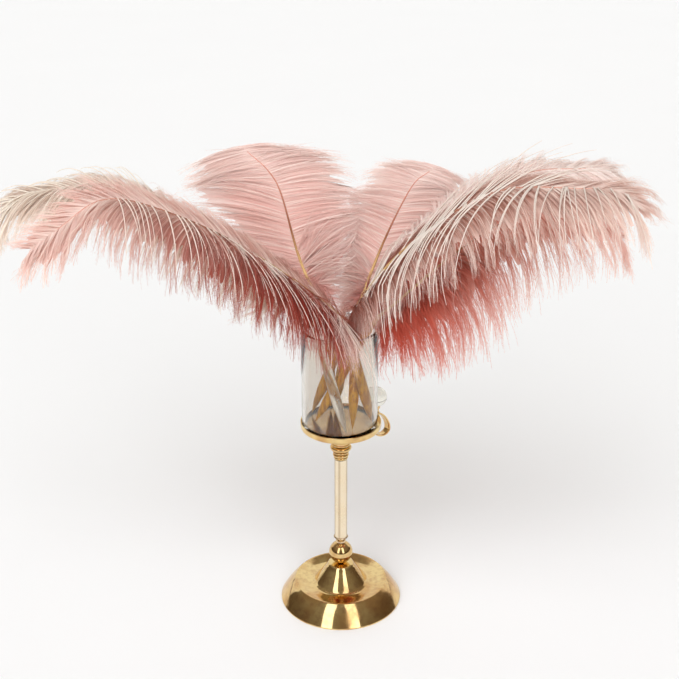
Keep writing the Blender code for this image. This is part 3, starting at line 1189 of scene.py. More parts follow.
    def grow(self, share: Array, side: Array, length: Array, lean: Array, sag: Array, lift: Array,
             outward: float = 0.0, overlap: float = 4.0) -> Array:
        """Lines of barbs that leave the shaft, sink, and are held by the glass and the wedge.

        Args:
            share: Where along the vane each one stands.
            side: 1 for the right vane and -1 for the left one.
            length: Length of each.
            lean: How far each points forward, in radians.
            sag: How strongly each sinks.
            lift: How far each rises from the vane's plane.
            outward: How far they bend along the shaft while they sink.
            overlap: How far they may reach into the neighbour's wedge.

        Returns:
            Points, as barbs, steps and coordinates.
        """
        mark = self.mark(share)
        root, along = self.axis.at(mark), self.axis.heading(mark)
        across = unit(np.cross(along, self.facing)) * side[:, None]
        heading = unit(across * np.cos(lean)[:, None] + along * np.sin(lean)[:, None]
                       + self.facing * lift[:, None])
        sink = unit(DOWN + along * outward)
        lines = np.empty((len(share), self.STEPS + 1, 3))
        lines[:, 0] = root
        free, shift = root.copy(), np.zeros_like(root)
        pressed = np.zeros(len(share))
        last = np.full(len(share), float(self.STEPS))
        for k in range(self.STEPS):
            pull = (sag * ((k + 0.5) / self.STEPS) ** self.SINKS)[:, None]
            free = free + unit(heading * (1.0 - pull) + sink * pull) * (length / self.STEPS)[:, None]
            clear = keep_off_glass(free + shift)
            held = self.wedge.keep(clear, overlap)
            pressed += np.linalg.norm(held - clear, axis=1)
            shift = held - free
            lines[:, k + 1] = held
            stops = (pressed > self.press) & (last == self.STEPS)
            last = np.where(stops, max(k, self.SHORTEST), last)
        return resample(lines, last / self.STEPS)

    def strands(self) -> Strands:
        """Barbs of both vanes, which lie together in strands and locks.

        Returns:
            The barbs.
        """
        style, rng = self.style, self.rng
        count = int((self.axis.length - self.start) / style.pitch)
        centre = np.tile(np.arange(count), 2) + rng.uniform(0.35, 0.65, 2 * count)
        centre = centre / count * self.VANE_END
        total = len(centre)
        side = np.repeat([1.0, -1.0], count)
        vane = (side < 0).astype(int)
        station = centre / self.VANE_END * self.STATIONS
        size = self.envelope(centre) * np.array(self.reach)[vane]
        length = size * (0.94 + 0.06 * np.cos(pi * station)
                         + rng.normal(0.0, self.LENGTH_SCATTER, total))
        lean = np.radians(self.lean_at(centre, vane) + rng.normal(0.0, self.LEAN_SCATTER, total))
        head = clamp((centre - 0.55) / 0.4)
        sag = np.array(self.droop)[vane] * (1.0 + (style.head_sag - 1.0) * head)
        sag = sag * (1.0 + rng.normal(0.0, self.SAG_SCATTER, total))
        lift = rng.normal(0.0, style.loose, total)
        lock = np.round(station / 2.0 + rng.normal(0.0, 0.12, total))
        number = (lock + self.LOCKS * vane).astype(int)
        locks = number.max() + 1
        lock_share = np.clip(2.0 * lock / self.STATIONS * self.VANE_END, 0.0, self.VANE_END)
        lock_lines = self.grow(lock_share, side, length, np.radians(self.lean_at(lock_share, vane)),
                               sag, rng.normal(0.0, 0.7 * style.loose, locks)[number])
        pull = np.clip(style.clump * rng.uniform(*self.LOCK_PULL, locks)[number], 0.0, 0.9)
        middle = self.grow(centre, side, length, lean, sag, lift)
        owner = np.repeat(np.arange(total), style.fibres)
        fibres = len(owner)
        place = np.tile(np.linspace(-0.5, 0.5, style.fibres), total) + rng.normal(0.0, 0.06, fibres)
        share = np.clip(centre[owner] + place / count, 0.0, self.VANE_END)
        own = self.grow(share, side[owner], length[owner],
                        lean[owner] + rng.normal(0.0, 0.02, fibres), sag[owner],
                        lift[owner] + rng.normal(0.0, 0.3 * style.loose, fibres))
        near = style.gather * clamp(self.T / 0.3)
        lines = own + (middle[owner] - own) * near[None, :, None]
        drawn = (pull[:, None] * self.T ** self.LOCK_DRAWN)[:, :, None]
        lines = lines + (lock_lines[owner] - lines) * drawn[owner]
        middle = middle + (lock_lines - middle) * drawn
        return Strands(lines, share, owner, place, rng.uniform(0.0, 1.0, total)[owner], side[owner],
                       middle, centre)

    def tuft_strands(self, tuft: Tuft) -> Strands:
        """Barbs of a tuft.

        Args:
            tuft: The tuft.

        Returns:
            The barbs.
        """
        rng, count = self.rng, tuft.count
        at = rng.uniform(0.0, 1.0, count)
        lean = between(tuft.lean, at) + rng.normal(0.0, tuft.LEAN_SCATTER[0], count)
        length = between(tuft.length, at) * rng.uniform(*tuft.LENGTHS, count)
        side = np.where(rng.uniform(0.0, 1.0, count) < tuft.right, 1.0, -1.0)
        lift = rng.normal(0.0, tuft.lift, count)
        owner = np.repeat(np.arange(count), tuft.FIBRES)
        fibres = len(owner)
        place = rng.uniform(-0.5, 0.5, fibres)
        share = between(tuft.shares, at)[owner]
        share = np.clip(share + 0.3 * place * self.style.pitch / self.axis.length, 0.0, self.VANE_END)
        lines = self.grow(share, side[owner], length[owner],
                          np.radians(lean[owner] + rng.normal(0.0, tuft.LEAN_SCATTER[1], fibres)),
                          np.full(fibres, tuft.sag),
                          lift[owner] + rng.normal(0.0, tuft.LIFT_SCATTER, fibres))
        return Strands(lines, share, owner, place, rng.uniform(0.0, 1.0, count)[owner], side[owner],
                       shown=tuft.shown)

    def ruffled(self, strands: Strands, along: Array) -> Array:
        """Give each strand its own waves, which grow toward its end.

        Args:
            strands: The barbs as they lie.
            along: The shaft's heading at their feet.

        Returns:
            The barbs' new lines.
        """
        total = strands.owner.max() + 1
        _, flat, normal = frames(strands.lines, along)
        waves = self.rng.uniform(*self.WAVES, (2, total, 1))
        phase = self.rng.uniform(0.0, tau, (2, total, 1))
        stray = self.style.frizz * self.rng.uniform(*self.WAVE_SIZE, total)[:, None] * self.T ** 1.5
        sway = np.sin(tau * waves * self.T + phase) - np.sin(phase)
        in_plane, off_plane = stray * sway[0], 0.8 * stray * sway[1]
        return (strands.lines + flat * in_plane[strands.owner][:, :, None]
                + normal * off_plane[strands.owner][:, :, None])

    def barbs(self, strands: Strands) -> Barbs:
        """Give barbs their waves, ragged lengths and parted ends.

        Args:
            strands: The barbs as they lie.

        Returns:
            The barbs with their sizes and tints.
        """
        style, rng = self.style, self.rng
        total = len(strands.share)
        along = self.axis.heading(self.mark(strands.share))
        lines = self.ruffled(strands, along)
        main = np.abs(strands.place) < 0.5 / style.fibres
        calm = np.where(main, 0.3, 1.0)
        lines = resample(lines, 1.0 - calm * style.ragged * rng.uniform(0.0, 1.0, total) ** 1.5)
        _, flat, normal = frames(lines, along)
        angle = rng.uniform(0.0, tau, total)[:, None]
        fray = calm * style.fray * np.abs(rng.normal(0.0, 1.0, total))
        out = 0.4 * clamp(self.T / 0.2)[None] + fray[:, None] * clamp((self.T - 0.4) / 0.6) ** 1.4
        lines = (lines + flat * (out * np.cos(angle))[:, :, None]
                 + normal * (out * np.sin(angle))[:, :, None])
        bare = style.light * np.where(main, 1.0, 0.6 * rng.uniform(0.0, 1.0, total) ** 1.5)
        width = np.where(main, style.width, 0.5 * style.width)
        # Painted shade between strands: the tint grows with a barb's distance from its strand's middle,
        # on top of random tone
        tint = 0.3 * strands.tint + 1.1 * np.abs(strands.place) + 0.25 * rng.uniform(0.0, 1.0, total)
        shown = strands.share + strands.shown + np.where(strands.side > 0, style.pale_right, 0.0)
        return Barbs(self, lines, along, shown, clamp(tint), bare, width)

    def add_web(self, strands: Strands) -> None:
        """Add the web of matted down behind the strands, with a ragged edge.

        Args:
            strands: The barbs as they lie.
        """
        rng, steps = self.rng, self.STEPS + 1
        count = len(strands.centres) // 2
        spot = np.arange((count - 1) * self.WEB_LINES + 1) / self.WEB_LINES
        rows = len(spot)
        index = np.minimum(spot.astype(int), count - 2)
        part = spot - index
        for vane, side in enumerate(Side):
            own = slice(vane * count, (vane + 1) * count)
            lines, share = strands.middles[own], strands.centres[own]
            share = weigh(share[index], share[index + 1], part)
            lines = weigh(lines[index], lines[index + 1], part[:, None, None])
            lines = resample(lines, self.style.web * rng.uniform(*self.WEB_LENGTH, rows))
            _, _, normal = frames(lines, self.axis.heading(self.mark(share)))
            outer = np.sign((normal[:, 1] * self.facing).sum(-1))[:, None, None] * normal
            least, more, wavy = self.WEB_DEPTH
            depth = least + more * np.sin(pi * np.minimum(self.T, 0.5))[None]
            depth = depth + rng.uniform(0.0, wavy, (rows, 1))
            lines = lines - outer * depth[:, :, None]
            u = np.repeat(0.02 + 0.46 * spot / count + HALF_MAP * vane, steps)
            v = np.tile(band(WEB_BAND, self.T), rows)
            shown = share + (self.style.pale_right if side is Side.RIGHT else 0.0)
            self.threads.add(lines.reshape(-1, 3), grid_faces(rows, steps, False), np.stack([u, v], -1),
                             along=np.tile(self.T, rows), share=shown, under=1.0,
                             tint=rng.uniform(0.0, 1.0, rows))

    def add_bare(self, strands: BareStrands) -> None:
        """Add strands without down.

        Args:
            strands: What they are.
        """
        rng, count, t = self.rng, strands.count, self.T
        at = np.sort(rng.uniform(0.0, 1.0, count))
        share = between(strands.shares, at)

        def scattered(pair: Pair, spread: float) -> Array:
            """Value from the first to the last strand, with some scatter."""
            return between(pair, at) * (1.0 + rng.normal(0.0, spread, count))

        lean = scattered(strands.lean, 0.0) + rng.normal(0.0, strands.LEAN_SCATTER, count)
        lines = self.grow(share, np.full(count, float(strands.side.value)),
                          scattered(strands.length, strands.LENGTH_SCATTER), np.radians(lean),
                          scattered(strands.sag, strands.SAG_SCATTER),
                          strands.LIFT[0] + rng.normal(0.0, strands.LIFT[1], count),
                          strands.outward, 2.0)
        above = strands.ABOVE[1] * np.sin(pi * t) + strands.ABOVE[0]
        lines = lines + self.facing * above[None, :, None]
        wave = rng.uniform(0.0, tau, (count, 1))
        sway = strands.SWAY * rng.uniform(0.2, 1.0, (count, 1)) * t ** 2 * np.sin(4.0 * t + wave)
        lines = lines + strands.SWAY_TOWARD * sway[:, :, None]
        radii = strands.radius * (1.0 - strands.TAPER * t) * rng.uniform(*strands.THICKNESS, (count, 1))
        points, faces = tubes(lines, radii, strands.SIDES)
        size = (self.STEPS + 1) * strands.SIDES
        u = np.repeat((np.arange(count) + 0.5) / count, size) * 0.9
        v = np.tile(np.repeat(t, strands.SIDES), count)
        self.threads.add(points, faces, np.stack([u, band(STRAND_BAND, v)], -1), along=v,
                         share=share, bare=rng.uniform(*strands.PALE, count))

    def vanes(self) -> Threads:
        """Fill both vanes.

        Returns:
            The barbs, their down, the web and the bare strands.
        """
        for strands in [self.strands(), *map(self.tuft_strands, self.tufts)]:
            barbs = self.barbs(strands)
            barbs.add_ribbons()
            barbs.add_down()
            if strands.middles is not None:
                self.add_web(strands)
        for strands in self.bare:
            self.add_bare(strands)
        return self.threads

    def spine(self) -> Threads:
        """Make the quill and the shaft as one tapering tube.

        Returns:
            The tube; the quill is the first material and the shaft the second.
        """
        straight = float(np.linalg.norm(self.mouth - self.foot))
        start, steps = self.QUILL_TOP
        low = np.concatenate([self.QUILL_AT, np.linspace(start, straight, steps)])
        places, radii = self.QUILL_R
        low_r = np.interp(low, [*places, straight], radii)
        quill = self.foot + self.leave * low[:, None]
        high = np.linspace(0.0, self.shaft.length, self.SHAFT_STEPS)[1:]
        share = high / self.shaft.length
        stem = np.concatenate([quill[-1:], self.shaft.at(high)])
        stem_r = np.concatenate([low_r[-1:], np.interp(share, *self.SHAFT_R)])
        threads, sides = Threads(), self.SPINE_SIDES
        for slot, line, radii, along in ((0, quill, low_r, low * 0.0),
                                         (1, stem, stem_r, np.concatenate([[0.0], share]))):
            points, faces = tubes(line[None], radii[None], sides)
            u = np.tile(np.arange(sides) / sides, len(line))
            v = np.repeat(np.linspace(0.0, 0.48, len(line)) + HALF_MAP * slot, sides)
            threads.add(points, faces, np.stack([u, v], -1), slot, along=along)
        return threads

    def build(self) -> list[bpy.types.Object]:
        """Make the plume's two pieces and put them in the place of its node.

        Returns:
            The barbs and the shaft.
        """
        quill = QuillFinish(self.name + "_quill", *(CLEAR_HORN if self.clear_quill else ()))
        shaft = ShaftFinish(self.name + "_shaft")
        pieces = [self.vanes().piece(self.name + "_barbs", [self.dressing.material()]),
                  self.spine().piece(self.name + "_shaft", [quill.material(), shaft.material()])]
        for piece in pieces:
            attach(piece, "root")
            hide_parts(self.name)
        return pieces


# ----- Stand and glass -----

def rounded(profile: Sequence[Pair], steps: int = 5) -> Array:
    """Smooth curve of a profile through its points.

    Args:
        profile: (radius, height) pairs.
        steps: Number of steps between two pairs.

    Returns:
        Rows of radius and height.
    """
    points = np.array(profile, float)
    padded = np.concatenate([2 * points[:1] - points[1:2], points, 2 * points[-1:] - points[-2:-1]])
    t = (np.arange(steps) / steps)[:, None]
    parts = []
    for a, b, c, d in zip(padded, padded[1:], padded[2:], padded[3:]):
        parts.append(0.5 * (2 * b + (c - a) * t + (2 * a - 5 * b + 4 * c - d) * t ** 2
                            + (3 * b - a - 3 * c + d) * t ** 3))
    return np.concatenate(parts + [points[-1:]])


def arc(radius: float, centre: float, start: float, end: float, steps: int = 20,
        out: float = 0.0) -> Array:
    """Arc of a profile.

    Args:
        radius: Radius of the arc.
        centre: Height of its centre.
        start: First angle in degrees from the horizontal.
        end: Last angle.
        steps: Number of steps.
        out: Distance of its centre from the axis.

    Returns:
        Rows of radius and height.
    """
    angle = np.radians(np.linspace(start, end, steps + 1))
    return np.stack([out + radius * np.cos(angle), centre + radius * np.sin(angle)], -1)


@dataclass
class Turned:
    """A piece turned on an upright axis, which takes the place of one CAD node.

    Args:
        node: The CAD node.
        name: Name of the piece.
        profile: Parts of the profile from the axis out and back; a part ends in a sharp edge.
        finish: What it is made of.
        slot: Name of a material slot; not used.
        centre: Where its axis stands.
        steps: Number of steps round it.
    """

    node: str
    name: str
    profile: Sequence[Sequence[Pair]]
    finish: Union[GiltFinish, GlassFinish]
    slot: str = "gilt_metal"
    centre: Pair = (0.0, 0.0)
    steps: int = 120

    WELD = 1e-6
    THIN = 1e-7
    SHARP = radians(28.0)

    def build(self) -> bpy.types.Object:
        """Make the piece and put it in the place of its node.

        Returns:
            The piece.
        """
        threads = Threads()
        for part in self.profile:
            threads.add_turned(np.asarray(part, float), self.centre, self.steps)
        piece = threads.piece(self.name, [self.finish.material()], marked=False)
        self.close(piece)
        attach(piece, "root")
        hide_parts(self.node)
        return piece

    @classmethod
    def close(cls, piece: bpy.types.Object) -> None:
        """Weld the parts into one closed skin with sharp edges where they meet.

        Args:
            piece: The piece.
        """
        skin = bmesh.new()
        skin.from_mesh(piece.data)
        bmesh.ops.remove_doubles(skin, verts=skin.verts, dist=cls.WELD)
        bmesh.ops.dissolve_degenerate(skin, edges=skin.edges, dist=cls.THIN)
        bmesh.ops.recalc_face_normals(skin, faces=skin.faces)
        skin.to_mesh(piece.data)
        skin.free()
        piece.data.set_sharp_from_angle(angle=cls.SHARP)


@dataclass
class Stand:
    """Foot, ball, stem, bead collar and tray.

    Args:
        foot_r: Radius of the foot.
        foot_top: Height of the foot's neck.
        ball_r: Radius of the ball.
        ball_z: Height of its middle.
        stem_r: Radius of the stem.
        stem_top: Height of its upper end.
        tray_r: Outer radius of the tray.
        tray_top: Height of its rim.
        tray_floor: Height on which the glass stands.
        gap: Air between two pieces, as in the part's source.
    """

    foot_r: float = 55.0
    foot_top: float = 36.0
    ball_r: float = 10.8
    ball_z: float = 47.1
    stem_r: float = 5.7
    stem_top: float = 144.0
    tray_r: float = 35.3
    tray_top: float = 182.0
    tray_floor: float = 178.6
    gap: float = 0.3

    def foot(self) -> list[Sequence[Pair]]:
        """Profile of the foot.

        Returns:
            Its underside, flange, ridge, dished ring, cone and neck.
        """
        r, top, brim, ring, neck = self.foot_r, self.foot_top, (42.0, 18.9), (40.8, 19.05), (27.2, 16.4)
        return [[(0.0, 0.0), (54.3, 0.0)], arc(0.75, 0.75, -90, 0, 5, r - 0.75), [(r, 0.75), (r, 1.5)],
                rounded([(r, 1.5), (51.9, 6.4), (48.5, 11.4), (45.2, 15.6), brim]),
                rounded([brim, (41.5, 19.1), ring]),
                rounded([ring, (36.4, 18.1), (31.6, 17.0), neck]),
                rounded([neck, (25.2, 16.6), (23.5, 17.8), (21.6, 20.3), (18.9, 24.2), (15.9, 28.5),
                         (13.2, 32.4), (11.6, 35.1), (10.6, top)]),
                [(10.6, top), (0.0, top)]]

    def ball(self) -> list[Sequence[Pair]]:
        """Profile of the ball, with a small flat at each end.

        Returns:
            Its lower flat, its round and its upper flat.
        """
        low, high, flat = self.ball_z - 10.72, self.ball_z + 10.72, 1.3
        return [[(0.0, low), (flat, low)], arc(self.ball_r, self.ball_z, -83.0, 83.0, 40),
                [(flat, high), (0.0, high)]]

    def stem(self) -> list[Sequence[Pair]]:
        """Profile of the stem.

        Returns:
            Its cup, the cup's lip, the tube and its upper end.
        """
        cup, r, top = self.ball_z + 10.95, self.stem_r, self.stem_top
        lip, waist = (6.3, cup + 4.9), (r, cup + 6.4)
        return [[(0.0, cup), (4.2, cup)],
                rounded([(4.2, cup), (4.4, cup + 1.6), (5.0, cup + 3.2), lip]),
                rounded([lip, (6.6, cup + 5.5), (6.3, cup + 6.0), waist]),
                [waist, (r, 90.0), (r, 120.0), (r, top)], [(r, top), (0.0, top)]]

    def collar(self) -> list[Sequence[Pair]]:
        """Profile of the bead collar.

        Returns:
            Its seat, rings and beads, and the neck that widens toward the tray.
        """
        low, brim = self.stem_top + self.gap, (12.0, COLLAR_TOP_Z)
        return [[(0.0, low), (5.4, low)],
                rounded([(5.4, low), (6.2, low + 0.6), (6.4, low + 1.6), (5.8, low + 2.4)]),
                arc(1.5, low + 4.0, -80, 80, 12, 5.6), arc(1.2, low + 7.0, -80, 80, 10, 6.0),
                arc(2.3, low + 11.2, -85, 85, 16, 7.2), arc(1.1, low + 15.0, -70, 70, 8, 7.4),
                rounded([(7.8, low + 16.2), (8.0, low + 20.0), (9.4, low + 26.5), brim]),
                [brim, (0.0, COLLAR_TOP_Z)]]

    def tray(self) -> list[Sequence[Pair]]:
        """Profile of the tray.

        Returns:
            Its underside, lower edge, wall, lip and floor.
        """
        low, lip, r = COLLAR_TOP_Z + self.gap, self.tray_top - 0.5, self.tray_r
        return [[(0.0, low), (r - 1.6, low)], arc(1.6, low + 1.6, -90, 0, 8, r - 1.6),
                [(r, low + 1.6), (r, lip)], arc(0.5, lip, 0, 180, 10, r - 0.5),
                [(r - 1.0, lip), (r - 1.0, self.tray_floor)],
                [(r - 1.0, self.tray_floor), (0.0, self.tray_floor)]]

    def pieces(self) -> list[Turned]:
        """Dress the profiles.

        Returns:
            The five turned pieces.
        """
        gilt = GiltFinish("gilt_polished")
        # The satin stem gets painted dark reflections: a thin line up its front and darker left and
        # right sides
        satin = GiltFinish("gilt_satin", dye(248, 234, 208), dye(244, 226, 194), 0.22, 0.06, 0.05, True,
                           dye(160, 122, 78))
        return [Turned("foot", "foot_bell", self.foot(), gilt),
                Turned("ball_knob", "ball_polished", self.ball(), gilt),
                Turned("stem", "stem_tube", self.stem(), satin),
                Turned("bead_collar", "collar_beads", self.collar(), gilt),
                Turned("tray", "tray_dish", self.tray(), gilt)]


@dataclass
class Vase:
    """Straight glass cylinder with a thick floor.

    Args:
        outer_r: Outer radius.
        bore_r: Radius of the bore.
        foot_z: Height of its underside.
        floor_z: Height of the floor inside.
        rim_z: Height of its rim.
        heel: Radius of the edge under it.
        fillet: Radius of the corner inside.
    """

    outer_r: float = 33.0
    bore_r: float = 30.5
    foot_z: float = 178.9
    floor_z: float = 182.0
    rim_z: float = GLASS_RIM_Z
    heel: float = 1.0
    fillet: float = 1.4

    def piece(self) -> Turned:
        """Lay out the glass.

        Returns:
            The glass.
        """
        lip = (self.outer_r - self.bore_r) / 2
        top, heel, fillet = self.rim_z - lip, self.foot_z + self.heel, self.floor_z + self.fillet
        stand_r, floor_r = self.outer_r - self.heel, self.bore_r - self.fillet
        profile = [[(0.0, self.foot_z), (stand_r, self.foot_z)],
                   arc(self.heel, heel, -90, 0, 6, stand_r),
                   [(self.outer_r, heel), (self.outer_r, 225.0), (self.outer_r, top)],
                   arc(lip, top, 0, 180, 14, self.outer_r - lip),
                   [(self.bore_r, top), (self.bore_r, 225.0), (self.bore_r, fillet)],
                   arc(self.fillet, fillet, 0, -90, 6, floor_r),
                   [(floor_r, self.floor_z), (0.0, self.floor_z)]]
        glass = GlassFinish("smoky_glass_wall", dye(240, 236, 230), 1.5)
        return Turned("glass_cylinder", "glass_tube", profile, glass, "smoky_glass", (GLASS_X, 0.0), 160)


@dataclass
class FingerLoop:
    """Loop bent from a strip under the tray, with a seat and a crystal ball on it.

    Args:
        thick: Thickness of the strip.
        wide: Its width.
        edges: Number of edges along it.
        ball_end: Angle at which the ball ends in a flat, in degrees above the horizontal.
        seat_end: Angle at which it touches its seat.
    """

    thick: float = 1.8
    wide: float = 7.0
    edges: int = 20
    ball_end: float = 80.0
    seat_end: float = 66.0

    def centre(self) -> Pair:
        """Where the ball stands on the floor plan."""
        return LOOP_BALL_R * cos(LOOP_HEADING), LOOP_BALL_R * sin(LOOP_HEADING)

    def strip(self) -> bpy.types.Object:
        """Make the strip with its seat.

        Returns:
            The piece.
        """
        heading = np.array([cos(LOOP_HEADING), sin(LOOP_HEADING), 0.0])
        across = np.array([-heading[1], heading[0], 0.0])
        s = COLLAR_TOP_Z - 0.6 - self.thick / 2.0
        route = rounded([(20.0, s), (36.0, s), (LOOP_BALL_R, s), (49.0, s - 3.4), (53.6, s - 9.0),
                         (56.8, s - 16.0), (56.6, s - 21.0), (52.5, s - 23.6), (46.5, s - 23.2),
                         (41.0, s - 20.0), (38.5, s - 15.0)], 6)
        centre = heading * route[:, :1] + np.array([0.0, 0.0, 1.0]) * route[:, 1:]
        normal = np.cross(across, unit(np.gradient(centre, axis=0)))
        angle = np.arange(self.edges) * tau / self.edges
        wide = np.sign(np.cos(angle)) * np.abs(np.cos(angle)) ** 0.35 * (self.wide / 2.0)
        tall = np.sign(np.sin(angle)) * np.abs(np.sin(angle)) ** 0.6 * (self.thick / 2.0)
        rings = centre[:, None] + across * wide[None, :, None] + normal[:, None] * tall[None, :, None]
        first, last = (np.broadcast_to(centre[k], (1, self.edges, 3)) for k in (0, -1))
        rings = np.concatenate([first, rings, last])
        threads = Threads()
        threads.add(rings.reshape(-1, 3), grid_faces(len(rings), self.edges, True))
        top = LOOP_BALL_Z - CRYSTAL_R * sin(radians(self.seat_end)) - 0.3
        foot = s + self.thick / 4.0
        seat = rounded([(2.6, foot), (2.0, foot + 1.5), (1.9, foot + 3.0), (2.6, foot + 4.4),
                        (3.3, top)])
        threads.add_turned(np.concatenate([[(0.0, foot)], seat, [(0.0, top)]]), self.centre(), 32)
        piece = threads.piece("finger_loop_strip", [GiltFinish("gilt_strip").material()], marked=False)
        Turned.close(piece)
        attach(piece, "root")
        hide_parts("finger_loop")
        return piece

    def ball(self) -> Turned:
        """Lay out the crystal ball.

        Returns:
            The ball.
        """
        flat = CRYSTAL_R * sin(radians(self.ball_end))
        edge = CRYSTAL_R * cos(radians(self.ball_end))
        low, high = LOOP_BALL_Z - flat, LOOP_BALL_Z + flat
        profile = [[(0.0, low), (edge, low)],
                   arc(CRYSTAL_R, LOOP_BALL_Z, -self.ball_end, self.ball_end, 48),
                   [(edge, high), (0.0, high)]]
        crystal = GlassFinish("crystal_clear", (0.9, 0.88, 0.8), 1.52)
        return Turned("crystal_ball", "crystal_sphere", profile, crystal, "clear_crystal",
                      self.centre(), 72)


# ----- The bouquet -----

# Where most vanes look, how the plumes are dressed, and the barbs of the two at the back
UP = (0.0, -0.25, 1.0)
# Down colours in order: painted shade near the foot, body, barb ends, bare strands, painted shade of the
# web between strands
BEIGE = DownFinish("down_beige", dye(190, 148, 128), dye(230, 210, 196), dye(246, 234, 222),
                   dye(255, 246, 232), dye(150, 112, 92), dark_to=0.3)
CORAL = DownFinish("down_coral", dye(206, 88, 68), dye(228, 162, 142), dye(248, 228, 220),
                   dye(252, 240, 228), dye(192, 100, 84), dark_to=0.55, ends=0.0)
BLUSH = DownFinish("down_blush", dye(232, 150, 140), dye(236, 208, 200), dye(234, 222, 216),
                   dye(252, 240, 230), dye(226, 172, 162), dark_to=0.25)
PEARL = DownFinish("down_pearl", dye(232, 150, 140), dye(236, 212, 204), dye(238, 228, 222),
                   dye(252, 244, 236), dye(228, 178, 168), dark_to=0.25)
SHELL = DownFinish("down_shell", dye(228, 168, 158), dye(246, 234, 228), dye(250, 241, 236),
                   dye(255, 248, 242), dye(234, 198, 190), dark_to=0.25)
BRICK = DownFinish("down_left_front", dye(150, 40, 26), dye(228, 172, 154), dye(248, 226, 218),
                   dye(255, 244, 232), dye(150, 70, 52), dark_to=0.5, ends=-0.5, crown=0.8)
ROSE = DownFinish("down_right_front", dye(140, 60, 42), dye(210, 150, 130), dye(248, 230, 220),
                  dye(255, 247, 236), dye(130, 66, 48), dark_to=0.52, crown=0.9)
FINE_BARBS = BarbStyle(frizz=0.7, clump=0.1, light=0.6, fray=3.0, pitch=2.4, web=0.92)

# Borders between neighbouring plumes, as near and far angles in degrees
BORDERS = ((-61.0, -77.0), (-19.0, -14.0), (15.0, 8.0), (42.0, 30.0), (78.0, 78.0), (160.0, 158.0),
           (203.0, 199.0), (297.0, 281.0))
WEDGES = [Wedge(low, high) for low, high in zip(BORDERS, BORDERS[1:])]


